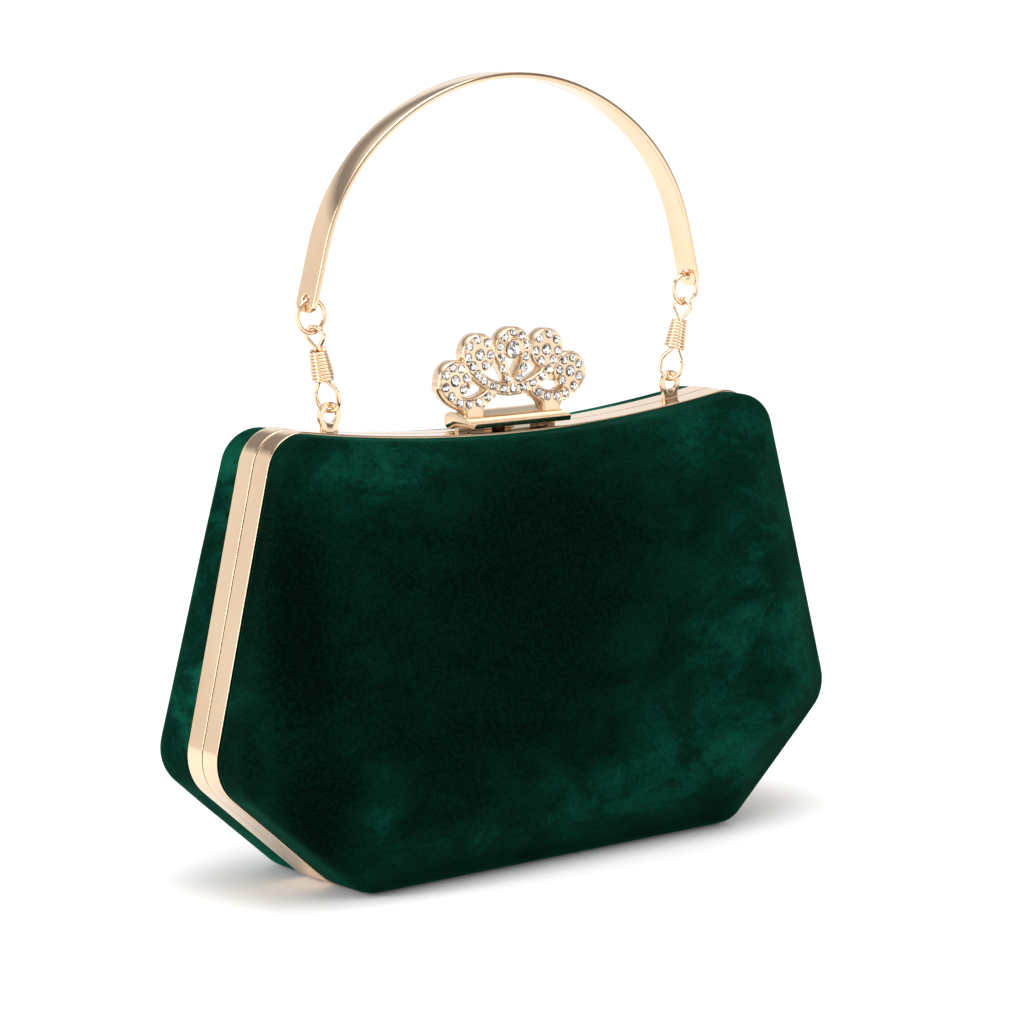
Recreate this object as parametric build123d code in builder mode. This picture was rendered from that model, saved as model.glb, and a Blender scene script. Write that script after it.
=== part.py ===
"""Hard-shell evening bag with a hinged metal frame, a jewelled clasp and a linked top handle.

Axes: X across the bag, Y from the front (-) to the rear (+), Z up. The origin is the middle of the
base, in the plane where the two halves meet. Millimetres.
"""
import os
from math import cos, hypot, radians, sin, sqrt, tan

from build123d import *

os.makedirs("parts", exist_ok=True)

# case outline, seen from the front
HALF_WIDTH = 105.0  # at the widest corners
WIDEST_HEIGHT = 33.8
BASE_HALF_WIDTH = 66.1
TOP_HALF_WIDTH = 84.0
TOP_HEIGHT = 125.5  # at the top corners
TOP_SAG = 7.2  # the top edge dips this much in the middle
WIDEST_RADIUS, BASE_RADIUS, TOP_RADIUS = 14.0, 10.0, 11.0

# metal frame, one band on each half
BAND_WIDTH = 6.7
BAND_THICKNESS = 1.3
BAND_BEVEL = 0.35
FLANGE_SETBACK = 1.4  # from the seam plane
FLANGE_THICKNESS = 0.8
FLANGE_DEPTH = 4.5  # how far it reaches into the case

# one half of the case, measured from the seam plane
WALL_DEPTH_BASE, WALL_DEPTH_TOP = 23.8, 15.4  # to the crease where the facets start
FACE_DEPTH_BASE, FACE_DEPTH_TOP = 34.4, 24.4  # to the flat face
FACE_INSET = 17.3  # the face's border, in from the outline
WALL_DRAFT = 0.6
COVER_INSET = 0.5
COVER_SPARE = 0.3  # cut off level with the frame's base
SHELL_INSET = 1.35
SHELL_THICKNESS = 1.2
LINING_THICKNESS = 0.5
GAP = 0.05  # between pieces that sit against each other

# case hinge, in the seam along the base
OPEN_ANGLE = 70.0
HINGE_HEIGHT = 1.3
HINGE_HALF_LENGTH = 30.0
KNUCKLES = 5
KNUCKLE_RADIUS = 1.25
HINGE_PIN_RADIUS = 0.5
LEAF_FRONT, LEAF_THICKNESS, LEAF_TOP = 0.45, 0.9, 5.6
RIVET_RADIUS = 0.8
RIVET_HEAD_RATIO, RIVET_HEAD = 1.6, 0.3
HINGE_RIVETS = [(-20.0, 4.2), (0.0, 4.2), (20.0, 4.2)]

# clasp on top of the frame
CLASP_HALF_WIDTH = 17.2
CLASP_FRONT = -6.9
CLASP_BOTTOM = 119.9
LIP_HEIGHT = 1.3
CLASP_WALL = 0.8
PIN_Y, PIN_Z = 4.5, 121.2
CLASP_PIN_RADIUS = 0.6
BARREL_RADIUS = 2.4
SLOPE_END_RUN, SLOPE_END_DROP = 2.4, 0.25  # the slope ends ahead of the barrel's top and below it
EAR_WIDTH = 2.4
EAR_X, EAR_THICKNESS = 13.2, 1.2

# crown ornament
CROWN_FRONT = -2.5
CROWN_THICKNESS = 3.9
CENTRE_RIM, SIDE_RIM, OUTER_RIM = 1.5, 1.75, 1.95  # metal outside each lobe's circle of stones
LEG_BAND, FOOT_BAND, SMILE_BAND = 3.2, 3.9, 3.7  # widths of the stone-set bands
CENTRE_STONE_RIM = 0.75
STONE_RADIUS = 1.0
LOBE_STONE_RADIUS = 1.3
CENTRE_STONE_RADIUS = 1.95
STONE_SEAT = 0.7  # depth of the drilled seats

# handle hardware
TAB_X, TAB_Y, TAB_THICKNESS = 60.9, 0.85, 1.0
TAB_OUTER_RADIUS, TAB_HOLE_RADIUS = 3.7, 2.05
TAB_TOP = 130.1
TAB_NECK = 5.6
TAB_RIVET_DROP = 3.6  # from the top edge down to the rivet
TAB_TANG_MARGIN = 0.5
TAB_EDGE_FILLET = 0.3
WIRE_RADIUS = 0.6
RING_RADIUS, RING_WIRE_RADIUS = 4.35, 0.65
HOOK_TURN = 64.0  # the hooks' plane, turned from the XZ plane

# handle bar
HOLE_X, HOLE_Z = 67.66, 157.5
HANDLE_TOP = 215.4
CROWN_ARC_RADIUS, CROWN_ARC_ANGLE = 73.0, 38.0
SHOULDER_RADIUS, LEG_ANGLE = 54.7, 75.2
STRIP_WIDTH, STRIP_THICKNESS = 8.0, 1.6
HANDLE_HOLE_RADIUS = 1.45
END_MARGIN = 3.4  # from the hole's centre to the strip's end
END_CORNER_RADIUS = 3.0
STRIP_CHAMFER = 0.3

TOP_ARC_RADIUS = (TOP_HALF_WIDTH**2 + TOP_SAG**2) / (2 * TOP_SAG)
TOP_ARC_CENTRE = TOP_HEIGHT - TOP_SAG + TOP_ARC_RADIUS


def save(part, name):
    """Label a finished piece and write its STEP file."""
    part.label = name
    export_step(part, f"parts/{name}.step")


def top_edge(x, inset=0.0):
    """Height of the top edge, moved in by inset, at a distance x from the middle."""
    return TOP_ARC_CENTRE - sqrt((TOP_ARC_RADIUS + inset) ** 2 - x**2)


def side_at(height, inset):
    """Half width of the upper side edge, moved in by inset."""
    run, rise = HALF_WIDTH - TOP_HALF_WIDTH, TOP_HEIGHT - WIDEST_HEIGHT
    edge = HALF_WIDTH - run * (height - WIDEST_HEIGHT) / rise
    return edge - inset * hypot(run, rise) / rise


def lower_side_at(height, inset):
    """Half width of the lower side edge, moved in by inset."""
    run, rise = HALF_WIDTH - BASE_HALF_WIDTH, WIDEST_HEIGHT
    edge = BASE_HALF_WIDTH + run * height / rise
    return edge - inset * hypot(run, rise) / rise


def corners(inset, base):
    """The right-hand corners of the outline moved in by inset, with the base at its own height."""
    low = WIDEST_HEIGHT
    slope_up = side_at(low + 1, inset) - side_at(low, inset)
    slope_down = lower_side_at(low + 1, inset) - lower_side_at(low, inset)
    widest = low + (side_at(low, inset) - lower_side_at(low, inset)) / (slope_down - slope_up)
    top = TOP_HEIGHT - inset
    for _ in range(4):  # settles on the point where the side meets the top edge
        top = top_edge(side_at(top, inset), inset)
    return [
        (lower_side_at(base, inset), base),
        (side_at(widest, inset), widest),
        (side_at(top, inset), top),
    ]


def outline(inset, base=None, stretch=1.0, radii=None):
    """Draw the case outline in the current sketch."""
    base = inset if base is None else base
    radii = radii or [max(r - inset, 3.0) for r in (WIDEST_RADIUS, BASE_RADIUS, TOP_RADIUS)]
    right = [(x, z * stretch) for x, z in corners(inset, base)]
    left = [(-x, z) for x, z in reversed(right)]
    with BuildSketch(mode=Mode.PRIVATE) as face:
        with BuildLine():
            Polyline(*left, *right)
            ThreePointArc(right[-1], (0, top_edge(0, inset) * stretch), left[0])
        make_face()
        by_width = face.vertices().sort_by(Axis.X)
        fillet([by_width[0], by_width[-1]], radii[0])
        fillet(face.vertices().group_by(Axis.Y)[0], radii[1])
        fillet(face.vertices().group_by(Axis.Y)[-1], radii[2])
    add(face.sketch)


def leaning_plane(depth_base, depth_top):
    """A plane that faces the front and leans back as the case gets thinner, and its stretch."""
    lean = (depth_base - depth_top) / TOP_HEIGHT
    plane = Plane(origin=(0, -depth_base, 0), x_dir=(1, 0, 0), z_dir=(0, -1, lean))
    return plane, hypot(1, lean)


def case_form(inset, start, base=None, inner=0.0):
    """A closed faceted half case, front side, whose faces lie inner mm inside the outer form."""
    wall, wall_stretch = leaning_plane(WALL_DEPTH_BASE - inner / 2, WALL_DEPTH_TOP - inner / 2)
    face, face_stretch = leaning_plane(FACE_DEPTH_BASE - inner, FACE_DEPTH_TOP - inner)
    face_inset = FACE_INSET + inner / 4
    with BuildPart() as form:
        with BuildSketch(Plane.XZ.offset(start)):
            outline(inset, base)
        with BuildSketch(wall):
            outline(inset + WALL_DRAFT, base, wall_stretch)
        with BuildSketch(face):
            outline(face_inset, None, face_stretch, [7.0, 6.0, 7.0])
        loft(ruled=True)
    return form.part


def hollow_half(outer, inner, start):
    """A case form with a second form taken out of it, open at the seam."""
    with BuildPart() as half:
        add(outer)
        add(inner, mode=Mode.SUBTRACT)
        with BuildSketch(Plane.XZ.offset(start)):
            Rectangle(4 * HALF_WIDTH, 4 * HALF_WIDTH)
        extrude(amount=-10, mode=Mode.SUBTRACT)
    return half.part


def to_rear(part):
    return mirror(part, about=Plane.XZ)


def make_shells():
    """Velvet cover, moulded shell and lining of both halves."""
    shell_start = FLANGE_SETBACK + FLANGE_THICKNESS + 2 * GAP
    cover_start = BAND_WIDTH + GAP
    lining_inset = SHELL_INSET + SHELL_THICKNESS
    void_inset = lining_inset + LINING_THICKNESS
    pile = SHELL_INSET - COVER_INSET
    with BuildPart() as level:
        add(case_form(COVER_INSET, cover_start, base=-COVER_SPARE))
        split(bisect_by=Plane.XY, keep=Keep.TOP)
    cover_form = level.part
    shell_form = case_form(SHELL_INSET, cover_start - 9, inner=pile)
    lining_form = case_form(lining_inset, cover_start - 9, inner=pile + SHELL_THICKNESS)
    void_form = case_form(
        void_inset, cover_start - 9, inner=pile + SHELL_THICKNESS + LINING_THICKNESS
    )
    cover = hollow_half(cover_form, shell_form, cover_start)
    shell = hollow_half(shell_form, lining_form, shell_start)
    lining = hollow_half(lining_form, void_form, shell_start)
    for name, part in (("cover", cover), ("shell", shell), ("lining", lining)):
        save(to_rear(part), f"rear_{name}")
        save(part, f"front_{name}")


def make_pocket():
    """A flat slip pocket laid on the rear lining."""
    back = SHELL_INSET - COVER_INSET + SHELL_THICKNESS + LINING_THICKNESS
    plane, _ = leaning_plane(FACE_DEPTH_BASE - back, FACE_DEPTH_TOP - back)
    width, height, low, cloth = 110.0, 58.0, 26.0, 0.8
    with BuildPart() as pocket:
        with BuildSketch(plane.offset(-GAP)):
            with Locations((0, low + height / 2)):
                RectangleRounded(width, height, 6)
        extrude(amount=-cloth)
    save(to_rear(pocket.part), "slip_pocket")


def knuckle_spans(front):
    """The stretches of the hinge line that carry this half's knuckles."""
    pitch = 2 * HINGE_HALF_LENGTH / KNUCKLES
    first = 1 if front else 0
    return [
        (-HINGE_HALF_LENGTH + i * pitch + GAP, -HINGE_HALF_LENGTH + (i + 1) * pitch - GAP)
        for i in range(first, KNUCKLES, 2)
    ]


def make_frame(front):
    """One band of the frame with its inner flange. Built on the front side."""
    relief = tan(radians(OPEN_ANGLE / 2 + 1))
    groove = HINGE_HEIGHT + 1.0
    with BuildPart() as band:
        with BuildSketch(Plane.XZ):
            outline(0)
            with BuildSketch(Plane.XZ, mode=Mode.PRIVATE) as hole:
                outline(BAND_THICKNESS)
            add(hole.sketch_local, mode=Mode.SUBTRACT)
        extrude(amount=BAND_WIDTH)
        seam = band.faces().sort_by(Axis.Y)[-1].outer_wire().edges()
        edge = band.faces().sort_by(Axis.Y)[0].outer_wire().edges()
        chamfer(seam + edge, BAND_BEVEL)
        with BuildSketch(Plane.XZ.offset(FLANGE_SETBACK)):
            outline(BAND_THICKNESS - GAP)
            with BuildSketch(Plane.XZ, mode=Mode.PRIVATE) as mouth:
                outline(BAND_THICKNESS + FLANGE_DEPTH)
            add(mouth.sketch_local, mode=Mode.SUBTRACT)
        extrude(amount=FLANGE_THICKNESS)
        # relief below the hinge line, so that the halves turn past each other
        with BuildSketch(Plane.YZ.offset(-HALF_WIDTH)):
            with BuildLine():
                Polyline((1, HINGE_HEIGHT), (0, HINGE_HEIGHT), (-groove * relief, HINGE_HEIGHT - groove),
                         (1, HINGE_HEIGHT - groove), close=True)
            make_face()
        extrude(amount=2 * HALF_WIDTH, mode=Mode.SUBTRACT)
        # notch for the knuckles
        with BuildSketch(Plane.YZ.offset(-HINGE_HALF_LENGTH - 0.3)):
            Circle(3 * KNUCKLE_RADIUS / 2)
            with Locations((0, HINGE_HEIGHT)):
                Circle(KNUCKLE_RADIUS + 0.12)
        extrude(amount=2 * HINGE_HALF_LENGTH + 0.6, mode=Mode.SUBTRACT)
        # rivet holes for the hinge leaf and, on the rear band, for the handle tabs
        with BuildSketch(Plane.XZ):
            with Locations(*HINGE_RIVETS):
                Circle(RIVET_RADIUS + GAP)
            if not front:
                with Locations(*tab_rivet_places()):
                    Circle(RIVET_RADIUS + GAP)
        extrude(amount=3 * FLANGE_SETBACK, mode=Mode.SUBTRACT)
        if not front:
            # slots in the band for the tangs of the handle tabs
            with BuildSketch(Plane.XZ.offset(TAB_Y - TAB_THICKNESS / 2 - GAP)):
                with Locations((-TAB_X, top_edge(TAB_X)), (TAB_X, top_edge(TAB_X))):
                    Rectangle(TAB_NECK + 2 * GAP, 3 * BAND_THICKNESS)
            extrude(amount=TAB_THICKNESS + 2 * GAP, mode=Mode.SUBTRACT)
    if front:
        save(band.part, "front_frame")
    else:
        save(to_rear(band.part), "rear_frame")


def make_hinge_leaf(front):
    """A hinge leaf with its knuckles. Built on the front side."""
    own, other = knuckle_spans(front), knuckle_spans(not front)
    low = HINGE_HEIGHT + 0.6
    with BuildPart() as leaf:
        with BuildSketch(Plane.XZ.offset(LEAF_FRONT)):
            with Locations((0, (low + LEAF_TOP) / 2)):
                Rectangle(2 * HINGE_HALF_LENGTH, LEAF_TOP - low)
            with Locations(*HINGE_RIVETS):
                Circle(RIVET_RADIUS + GAP, mode=Mode.SUBTRACT)
            for start, end in other:
                with Locations(((start + end) / 2, low)):
                    Rectangle(end - start + 6 * GAP, 2.0, mode=Mode.SUBTRACT)
        extrude(amount=LEAF_THICKNESS)
        for start, end in own:
            with BuildSketch(Plane.YZ.offset(start)):
                with Locations((0, HINGE_HEIGHT)):
                    Circle(KNUCKLE_RADIUS)
            extrude(amount=end - start)
        with BuildSketch(Plane.YZ.offset(-HINGE_HALF_LENGTH - 1)):
            with Locations((0, HINGE_HEIGHT)):
                Circle(HINGE_PIN_RADIUS + GAP / 2)
        extrude(amount=2 * HINGE_HALF_LENGTH + 2, mode=Mode.SUBTRACT)
    if front:
        save(leaf.part, "front_hinge_leaf")
    else:
        save(to_rear(leaf.part), "rear_hinge_leaf")


def make_hinge_pin():
    with BuildPart() as pin:
        with BuildSketch(Plane.YZ.offset(-HINGE_HALF_LENGTH)):
            with Locations((0, HINGE_HEIGHT)):
                Circle(HINGE_PIN_RADIUS)
        extrude(amount=2 * HINGE_HALF_LENGTH)
    save(pin.part, "case_hinge_pin")


def rivets(places, start, end):
    """Round-headed rivets along Y, built on the front side."""
    with BuildPart() as group:
        with BuildSketch(Plane.XZ.offset(start)):
            with Locations(*places):
                Circle(RIVET_RADIUS)
        extrude(amount=end - start)
        with BuildSketch(Plane.XZ.offset(start - RIVET_HEAD)):
            with Locations(*places):
                Circle(RIVET_HEAD_RATIO * RIVET_RADIUS)
        extrude(amount=RIVET_HEAD)
    return group.part


def make_rivets():
    leaf_end = FLANGE_SETBACK + FLANGE_THICKNESS
    hinge_set = rivets(HINGE_RIVETS, LEAF_FRONT - GAP, leaf_end)
    tab_set = rivets(tab_rivet_places(), TAB_Y - TAB_THICKNESS / 2 - GAP, leaf_end)
    save(hinge_set, "front_hinge_rivets")
    save(to_rear(hinge_set), "rear_hinge_rivets")
    save(to_rear(tab_set), "tab_rivets")


def tab_rivet_places():
    return [(-TAB_X, top_edge(TAB_X) - TAB_RIVET_DROP), (TAB_X, top_edge(TAB_X) - TAB_RIVET_DROP)]


def make_tab(side, name):
    """A stamped lug for the hook, with a tang riveted to the flange inside the case."""
    centre = TAB_TOP - TAB_OUTER_RADIUS
    foot = top_edge(TAB_X) - BAND_THICKNESS - FLANGE_DEPTH + TAB_TANG_MARGIN
    x = side * TAB_X
    with BuildPart() as tab:
        with BuildSketch(Plane.XZ.offset(-TAB_Y - TAB_THICKNESS / 2)):
            with Locations((x, centre)):
                Circle(TAB_OUTER_RADIUS)
            with Locations((x, (centre + foot) / 2)):
                Rectangle(TAB_NECK, centre - foot)
            with Locations((x, centre)):
                Circle(TAB_HOLE_RADIUS, mode=Mode.SUBTRACT)
            with Locations((x, top_edge(TAB_X) - TAB_RIVET_DROP)):
                Circle(RIVET_RADIUS + GAP, mode=Mode.SUBTRACT)
        extrude(amount=TAB_THICKNESS)
        outer = tab.edges().filter_by(GeomType.CIRCLE).group_by(SortBy.RADIUS)[-1]
        fillet(outer, TAB_EDGE_FILLET)
    save(tab.part, name)


def make_clasp_base():
    """Fixed base on the rear band, with two ears for the clasp's pin."""
    top, front, rear = CLASP_BOTTOM - 0.15, 0.3, PIN_Y - BARREL_RADIUS - 0.15
    half = CLASP_HALF_WIDTH
    with BuildPart() as base:
        with BuildSketch(Plane.XZ.offset(-rear)):
            with BuildLine():
                Polyline((-half, top_edge(half)), (-half, top), (half, top), (half, top_edge(half)))
                ThreePointArc((half, top_edge(half)), (0, top_edge(0)), (-half, top_edge(half)))
            make_face()
        extrude(amount=rear - front)
        for x in (-EAR_X - EAR_THICKNESS, EAR_X):
            with BuildSketch(Plane.YZ.offset(x)):
                SlotCenterPoint(((PIN_Y + 1.0) / 2, (PIN_Z + 119.9) / 2), (PIN_Y, PIN_Z), EAR_WIDTH)
            extrude(amount=EAR_THICKNESS)
        with BuildSketch(Plane.YZ.offset(-half)):
            with Locations((PIN_Y, PIN_Z)):
                Circle(CLASP_PIN_RADIUS)
        extrude(amount=2 * half, mode=Mode.SUBTRACT)
    save(base.part, "clasp_base")


def make_clasp_pin():
    with BuildPart() as pin:
        with BuildSketch(Plane.YZ.offset(-CLASP_HALF_WIDTH + 0.1)):
            with Locations((PIN_Y, PIN_Z)):
                Circle(CLASP_PIN_RADIUS)
        extrude(amount=2 * CLASP_HALF_WIDTH - 0.2)
    save(pin.part, "clasp_pin")


def make_clasp_spring():
    """Torsion spring around the clasp's pin."""
    wire, radius, pitch, length = 0.2, 0.95, 0.6, 6.0
    with BuildPart() as spring:
        with BuildLine() as path:
            Helix(pitch, length, radius, center=(-length / 2, PIN_Y, PIN_Z), direction=(1, 0, 0))
        with BuildSketch(Plane(origin=path.line @ 0, z_dir=path.line % 0)):
            Circle(wire)
        sweep(is_frenet=True)
    save(spring.part, "clasp_spring")


def clasp_profile():
    """Side view of the clasp flap: a lip, a slope and a round barrel at the rear."""
    crest = PIN_Z + BARREL_RADIUS
    with BuildSketch(mode=Mode.PRIVATE) as side:
        with BuildLine():
            Polyline((PIN_Y, CLASP_BOTTOM), (CLASP_FRONT, CLASP_BOTTOM),
                     (CLASP_FRONT, CLASP_BOTTOM + LIP_HEIGHT),
                     (PIN_Y - SLOPE_END_RUN, crest - SLOPE_END_DROP),
                     (PIN_Y, crest), close=True)
        make_face()
        with Locations((PIN_Y, PIN_Z)):
            Circle(BARREL_RADIUS)
    add(side.sketch)


def make_clasp_flap():
    """The hinged cap of the clasp: hollow below, with a cheek at each end."""
    half, wall = CLASP_HALF_WIDTH, CLASP_WALL
    crest = PIN_Z + BARREL_RADIUS
    with BuildPart() as flap:
        with BuildSketch(Plane.YZ.offset(-half)):
            clasp_profile()
        extrude(amount=2 * half)
        with BuildSketch(Plane.YZ.offset(-half + wall)):
            with BuildLine():
                Polyline(
                    (CLASP_FRONT + wall, CLASP_BOTTOM - 3), (CLASP_FRONT + wall, CLASP_BOTTOM + 0.65),
                    (PIN_Y - SLOPE_END_RUN, crest - SLOPE_END_DROP - wall), (PIN_Y, crest - wall),
                    (PIN_Y + 0.55, PIN_Z), (PIN_Y + 0.55, CLASP_BOTTOM - 3), close=True,
                )
            make_face()
            with Locations((PIN_Y, PIN_Z)):
                Circle(BARREL_RADIUS - wall)
        extrude(amount=2 * (half - wall), mode=Mode.SUBTRACT)
        with BuildSketch(Plane.YZ.offset(-half)):
            with Locations((PIN_Y, PIN_Z)):
                Circle(CLASP_PIN_RADIUS + GAP)
        extrude(amount=2 * half, mode=Mode.SUBTRACT)
    save(flap.part, "clasp_flap")


def make_latch():
    """The catch block on the front band, and the flap's spring tongue that snaps over it."""
    half, rear, front = 3.2, 2.6, 5.5
    with BuildPart() as block:
        with BuildSketch(Plane.XZ.offset(rear)):
            with BuildLine():
                Polyline((-half, top_edge(half)), (-half, CLASP_BOTTOM - 0.2), (half, CLASP_BOTTOM - 0.2),
                         (half, top_edge(half)))
                ThreePointArc((half, top_edge(half)), (0, top_edge(0)), (-half, top_edge(half)))
            make_face()
        extrude(amount=front - rear)
    save(block.part, "catch_block")
    with BuildPart() as tongue:
        with BuildSketch(Plane.XZ.offset(front + GAP)):
            with Locations((0, 119.75)):
                Rectangle(2 * half - 0.6, 1.6)
        extrude(amount=-CLASP_FRONT - CLASP_WALL - front - 2 * GAP)
    save(tongue.part, "latch_tongue")


# crown plan: circles and arcs in the XZ plane, given as centre, radius and the stones they carry
CENTRE_LOBE = (0.0, 140.2, 4.9)
SIDE_LOBE = (12.1, 139.8, 4.0)
OUTER_LOBE = (20.4, 132.9, 3.75)
SMILE_ARC = (0.0, 148.8, 19.5)  # the long arc below the three upper lobes
FOOT_ARC = (14.9, 137.1, 11.0)  # the arc below each outer lobe
CENTRE_TIP = (0.0, 131.2)  # where the centre lobe's sides meet


def on_circle(circle, angle):
    """A point of a circle, the angle in degrees from +X."""
    x, z, radius = circle
    return (x + radius * cos(radians(angle)), z + radius * sin(radians(angle)))


def small_stone_places():
    """Centres of the small stones in the front view."""
    centre = [on_circle(CENTRE_LOBE, a) for a in (90, 49, 14, -26)]
    legs = [(3.75, 135.0), (2.05, 132.3)]
    side = [on_circle(SIDE_LOBE, a) for a in (81, 34, -14, 134, 188, 238, -57)]
    smile = [on_circle(SMILE_ARC, a) for a in (-90, -79.7, -69.0, -58.3, -49.6)]
    outer = [on_circle(OUTER_LOBE, a) for a in (75, 123, 27, 173, 223, -26)]
    foot = [on_circle(FOOT_ARC, a) for a in (-51, -69, -86, -104, -122)]
    right = centre[1:] + legs + side + smile[1:] + outer + foot
    return [centre[0], smile[0]] + right + [(-x, z) for x, z in right]


def lobe_stone_places():
    return [(s * x, z) for s in (-1, 1) for x, z in ((11.9, 139.4), (20.5, 132.8))]


def crown_face():
    """Front view of the crown: stone-set bands round the lobes, with the openings between them."""
    with BuildSketch(mode=Mode.PRIVATE) as face:
        with Locations(CENTRE_LOBE[:2]):
            Circle(CENTRE_LOBE[2] + CENTRE_RIM)
        for side in (-1, 1):
            tip = (side * 0.4, CENTRE_TIP[1])
            shoulder = (side * 4.6, 137.8)
            SlotCenterPoint(((shoulder[0] + tip[0]) / 2, (shoulder[1] + tip[1]) / 2), tip, LEG_BAND)
            with Locations((side * SIDE_LOBE[0], SIDE_LOBE[1])):
                Circle(SIDE_LOBE[2] + SIDE_RIM)
            with Locations((side * OUTER_LOBE[0], OUTER_LOBE[1])):
                Circle(OUTER_LOBE[2] + OUTER_RIM)
            start = -130 if side > 0 else -150
            SlotArc(CenterArc((side * FOOT_ARC[0], FOOT_ARC[1]), FOOT_ARC[2], start, 100), FOOT_BAND)
            with BuildLine():
                Polyline((side * 14.6, 128.9), (side * 17.6, 128.4), (side * 16.2, 132.2), close=True)
            make_face(mode=Mode.SUBTRACT)
        SlotArc(CenterArc(SMILE_ARC[:2], SMILE_ARC[2], -139, 98), SMILE_BAND)
        with BuildLine():
            Polyline((-2.5, 137.9), (2.5, 137.9), (0, 132.6), close=True)
        make_face(mode=Mode.SUBTRACT)
        with Locations(CENTRE_LOBE[:2]):
            Circle(CENTRE_STONE_RADIUS + CENTRE_STONE_RIM)
    add(face.sketch)


def make_crown():
    """Cast crown with drilled seats for the stones."""
    foot_in, foot_out, foot_low = 10.6, 17.0, 120.8
    with BuildPart() as crown:
        with BuildSketch(Plane.XZ.offset(-CROWN_FRONT)):
            crown_face()
            for side in (-1, 1):
                with Locations((side * (foot_in + foot_out) / 2, 123.2)):
                    Rectangle(foot_out - foot_in, 2 * (123.2 - foot_low))
        extrude(amount=-CROWN_THICKNESS)
        with BuildSketch(Plane.YZ.offset(-CLASP_HALF_WIDTH)):
            clasp_profile()
        extrude(amount=2 * CLASP_HALF_WIDTH, mode=Mode.SUBTRACT)
        with BuildSketch(Plane.XZ.offset(-CROWN_FRONT)):
            with Locations(*small_stone_places()):
                Circle(STONE_RADIUS + GAP)
            with Locations(*lobe_stone_places()):
                Circle(LOBE_STONE_RADIUS + GAP)
            with Locations(CENTRE_LOBE[:2]):
                Circle(CENTRE_STONE_RADIUS + GAP)
        extrude(amount=-STONE_SEAT, mode=Mode.SUBTRACT)
    save(crown.part, "crown")


def stones(places, radius, height):
    """Cut stones seated in the crown's front: a short girdle and a bevelled top."""
    with BuildPart() as group:
        with BuildSketch(Plane.XZ.offset(-CROWN_FRONT - STONE_SEAT + 0.02)):
            with Locations(*places):
                Circle(radius)
        extrude(amount=STONE_SEAT + 0.15)
        with BuildSketch(Plane.XZ.offset(-CROWN_FRONT + 0.17)):
            with Locations(*places):
                Circle(radius)
        extrude(amount=height, taper=40)
    return group.part


def make_stones():
    save(stones(small_stone_places(), STONE_RADIUS, 0.35), "crown_small_stones")
    save(stones(lobe_stone_places(), LOBE_STONE_RADIUS, 0.5), "crown_lobe_stones")
    save(stones([CENTRE_LOBE[:2]], CENTRE_STONE_RADIUS, 0.7), "crown_centre_stone")


# hook, along its own length from the tab's rim: u is across the hook, v along it
RIM_HEIGHT = TAB_TOP - (TAB_OUTER_RADIUS - TAB_HOLE_RADIUS) / 2
LOOP_BOTTOM = -1.8
LOOP_HALF_WIDTH = 3.25
NOSE_END = 3.3
COIL_START, COIL_END, COIL_TURNS = 7.0, 15.7, 9
COIL_RADIUS_LOW, COIL_RADIUS_HIGH, COIL_WIRE = 2.75, 1.85, 0.52
LEG = 0.66
EYE_HALF_WIDTH, EYE_TOP = 2.6, 21.65
GATE_WIRE = 0.5
EYE_JOINT = EYE_TOP - WIRE_RADIUS - RING_WIRE_RADIUS - 0.15


def hook_plane(side):
    """The hook's plane: its y axis leans out to the handle's end."""
    along = Vector(side * (HOLE_X - TAB_X), 0, HOLE_Z - RIM_HEIGHT).normalized()
    across = Vector(cos(radians(HOOK_TURN)), -sin(radians(HOOK_TURN)), 0)
    across = (across - along * across.dot(along)).normalized()
    return Plane(origin=(side * TAB_X, TAB_Y, RIM_HEIGHT), x_dir=across, z_dir=across.cross(along))


def make_wire(plane, points, radii, wire):
    """A round wire bent along points in a plane."""
    with BuildPart() as bent:
        with BuildLine(plane) as path:
            FilletPolyline(*points, radius=radii)
        with BuildSketch(Plane(origin=path.line @ 0, z_dir=path.line % 0)):
            Circle(wire)
        sweep()
    return bent.part


def make_hook(side, name):
    """The formed wire: a hook below, two legs through the coil, and an eye above."""
    g = side  # the gate is on the outer side
    w, e = LOOP_HALF_WIDTH, EYE_HALF_WIDTH
    points = [
        (g * w, NOSE_END), (g * w, LOOP_BOTTOM), (-g * w, LOOP_BOTTOM), (-g * w, 4.0),
        (-g * LEG, 6.9), (-g * LEG, 16.1), (-g * e, 18.7), (-g * e, EYE_TOP),
        (g * e, EYE_TOP), (g * e, 18.7), (g * LEG, 16.1), (g * LEG, 9.4),
    ]
    radii = [w - 0.02, w - 0.02, 1.6, 1.6, 1.0, 1.0, e - 0.02, e - 0.02, 1.0, 1.0]
    save(make_wire(hook_plane(side), points, radii, WIRE_RADIUS), f"{name}_hook")


def make_coil(side, name):
    """The wound wire that binds the hook's legs, wider at its lower end."""
    pitch = (COIL_END - COIL_START) / COIL_TURNS
    with BuildPart() as coil:
        with BuildSketch(hook_plane(side)):
            for i in range(COIL_TURNS):
                t = (i + 0.5) / COIL_TURNS
                radius = COIL_RADIUS_LOW + (COIL_RADIUS_HIGH - COIL_RADIUS_LOW) * t
                with Locations((radius, COIL_START + (i + 0.5) * pitch)):
                    Circle(COIL_WIRE)
        revolve(axis=Axis(hook_plane(side).origin, hook_plane(side).y_dir))
    save(coil.part, f"{name}_coil")


def make_gate(side, name):
    """The spring wire that closes the hook, from inside the coil to the hook's nose."""
    points = [(side * 1.42, 9.0), (side * 1.42, 6.6), (side * 3.1, 3.85)]
    save(make_wire(hook_plane(side), points, [2.0], GATE_WIRE), f"{name}_gate")


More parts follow.
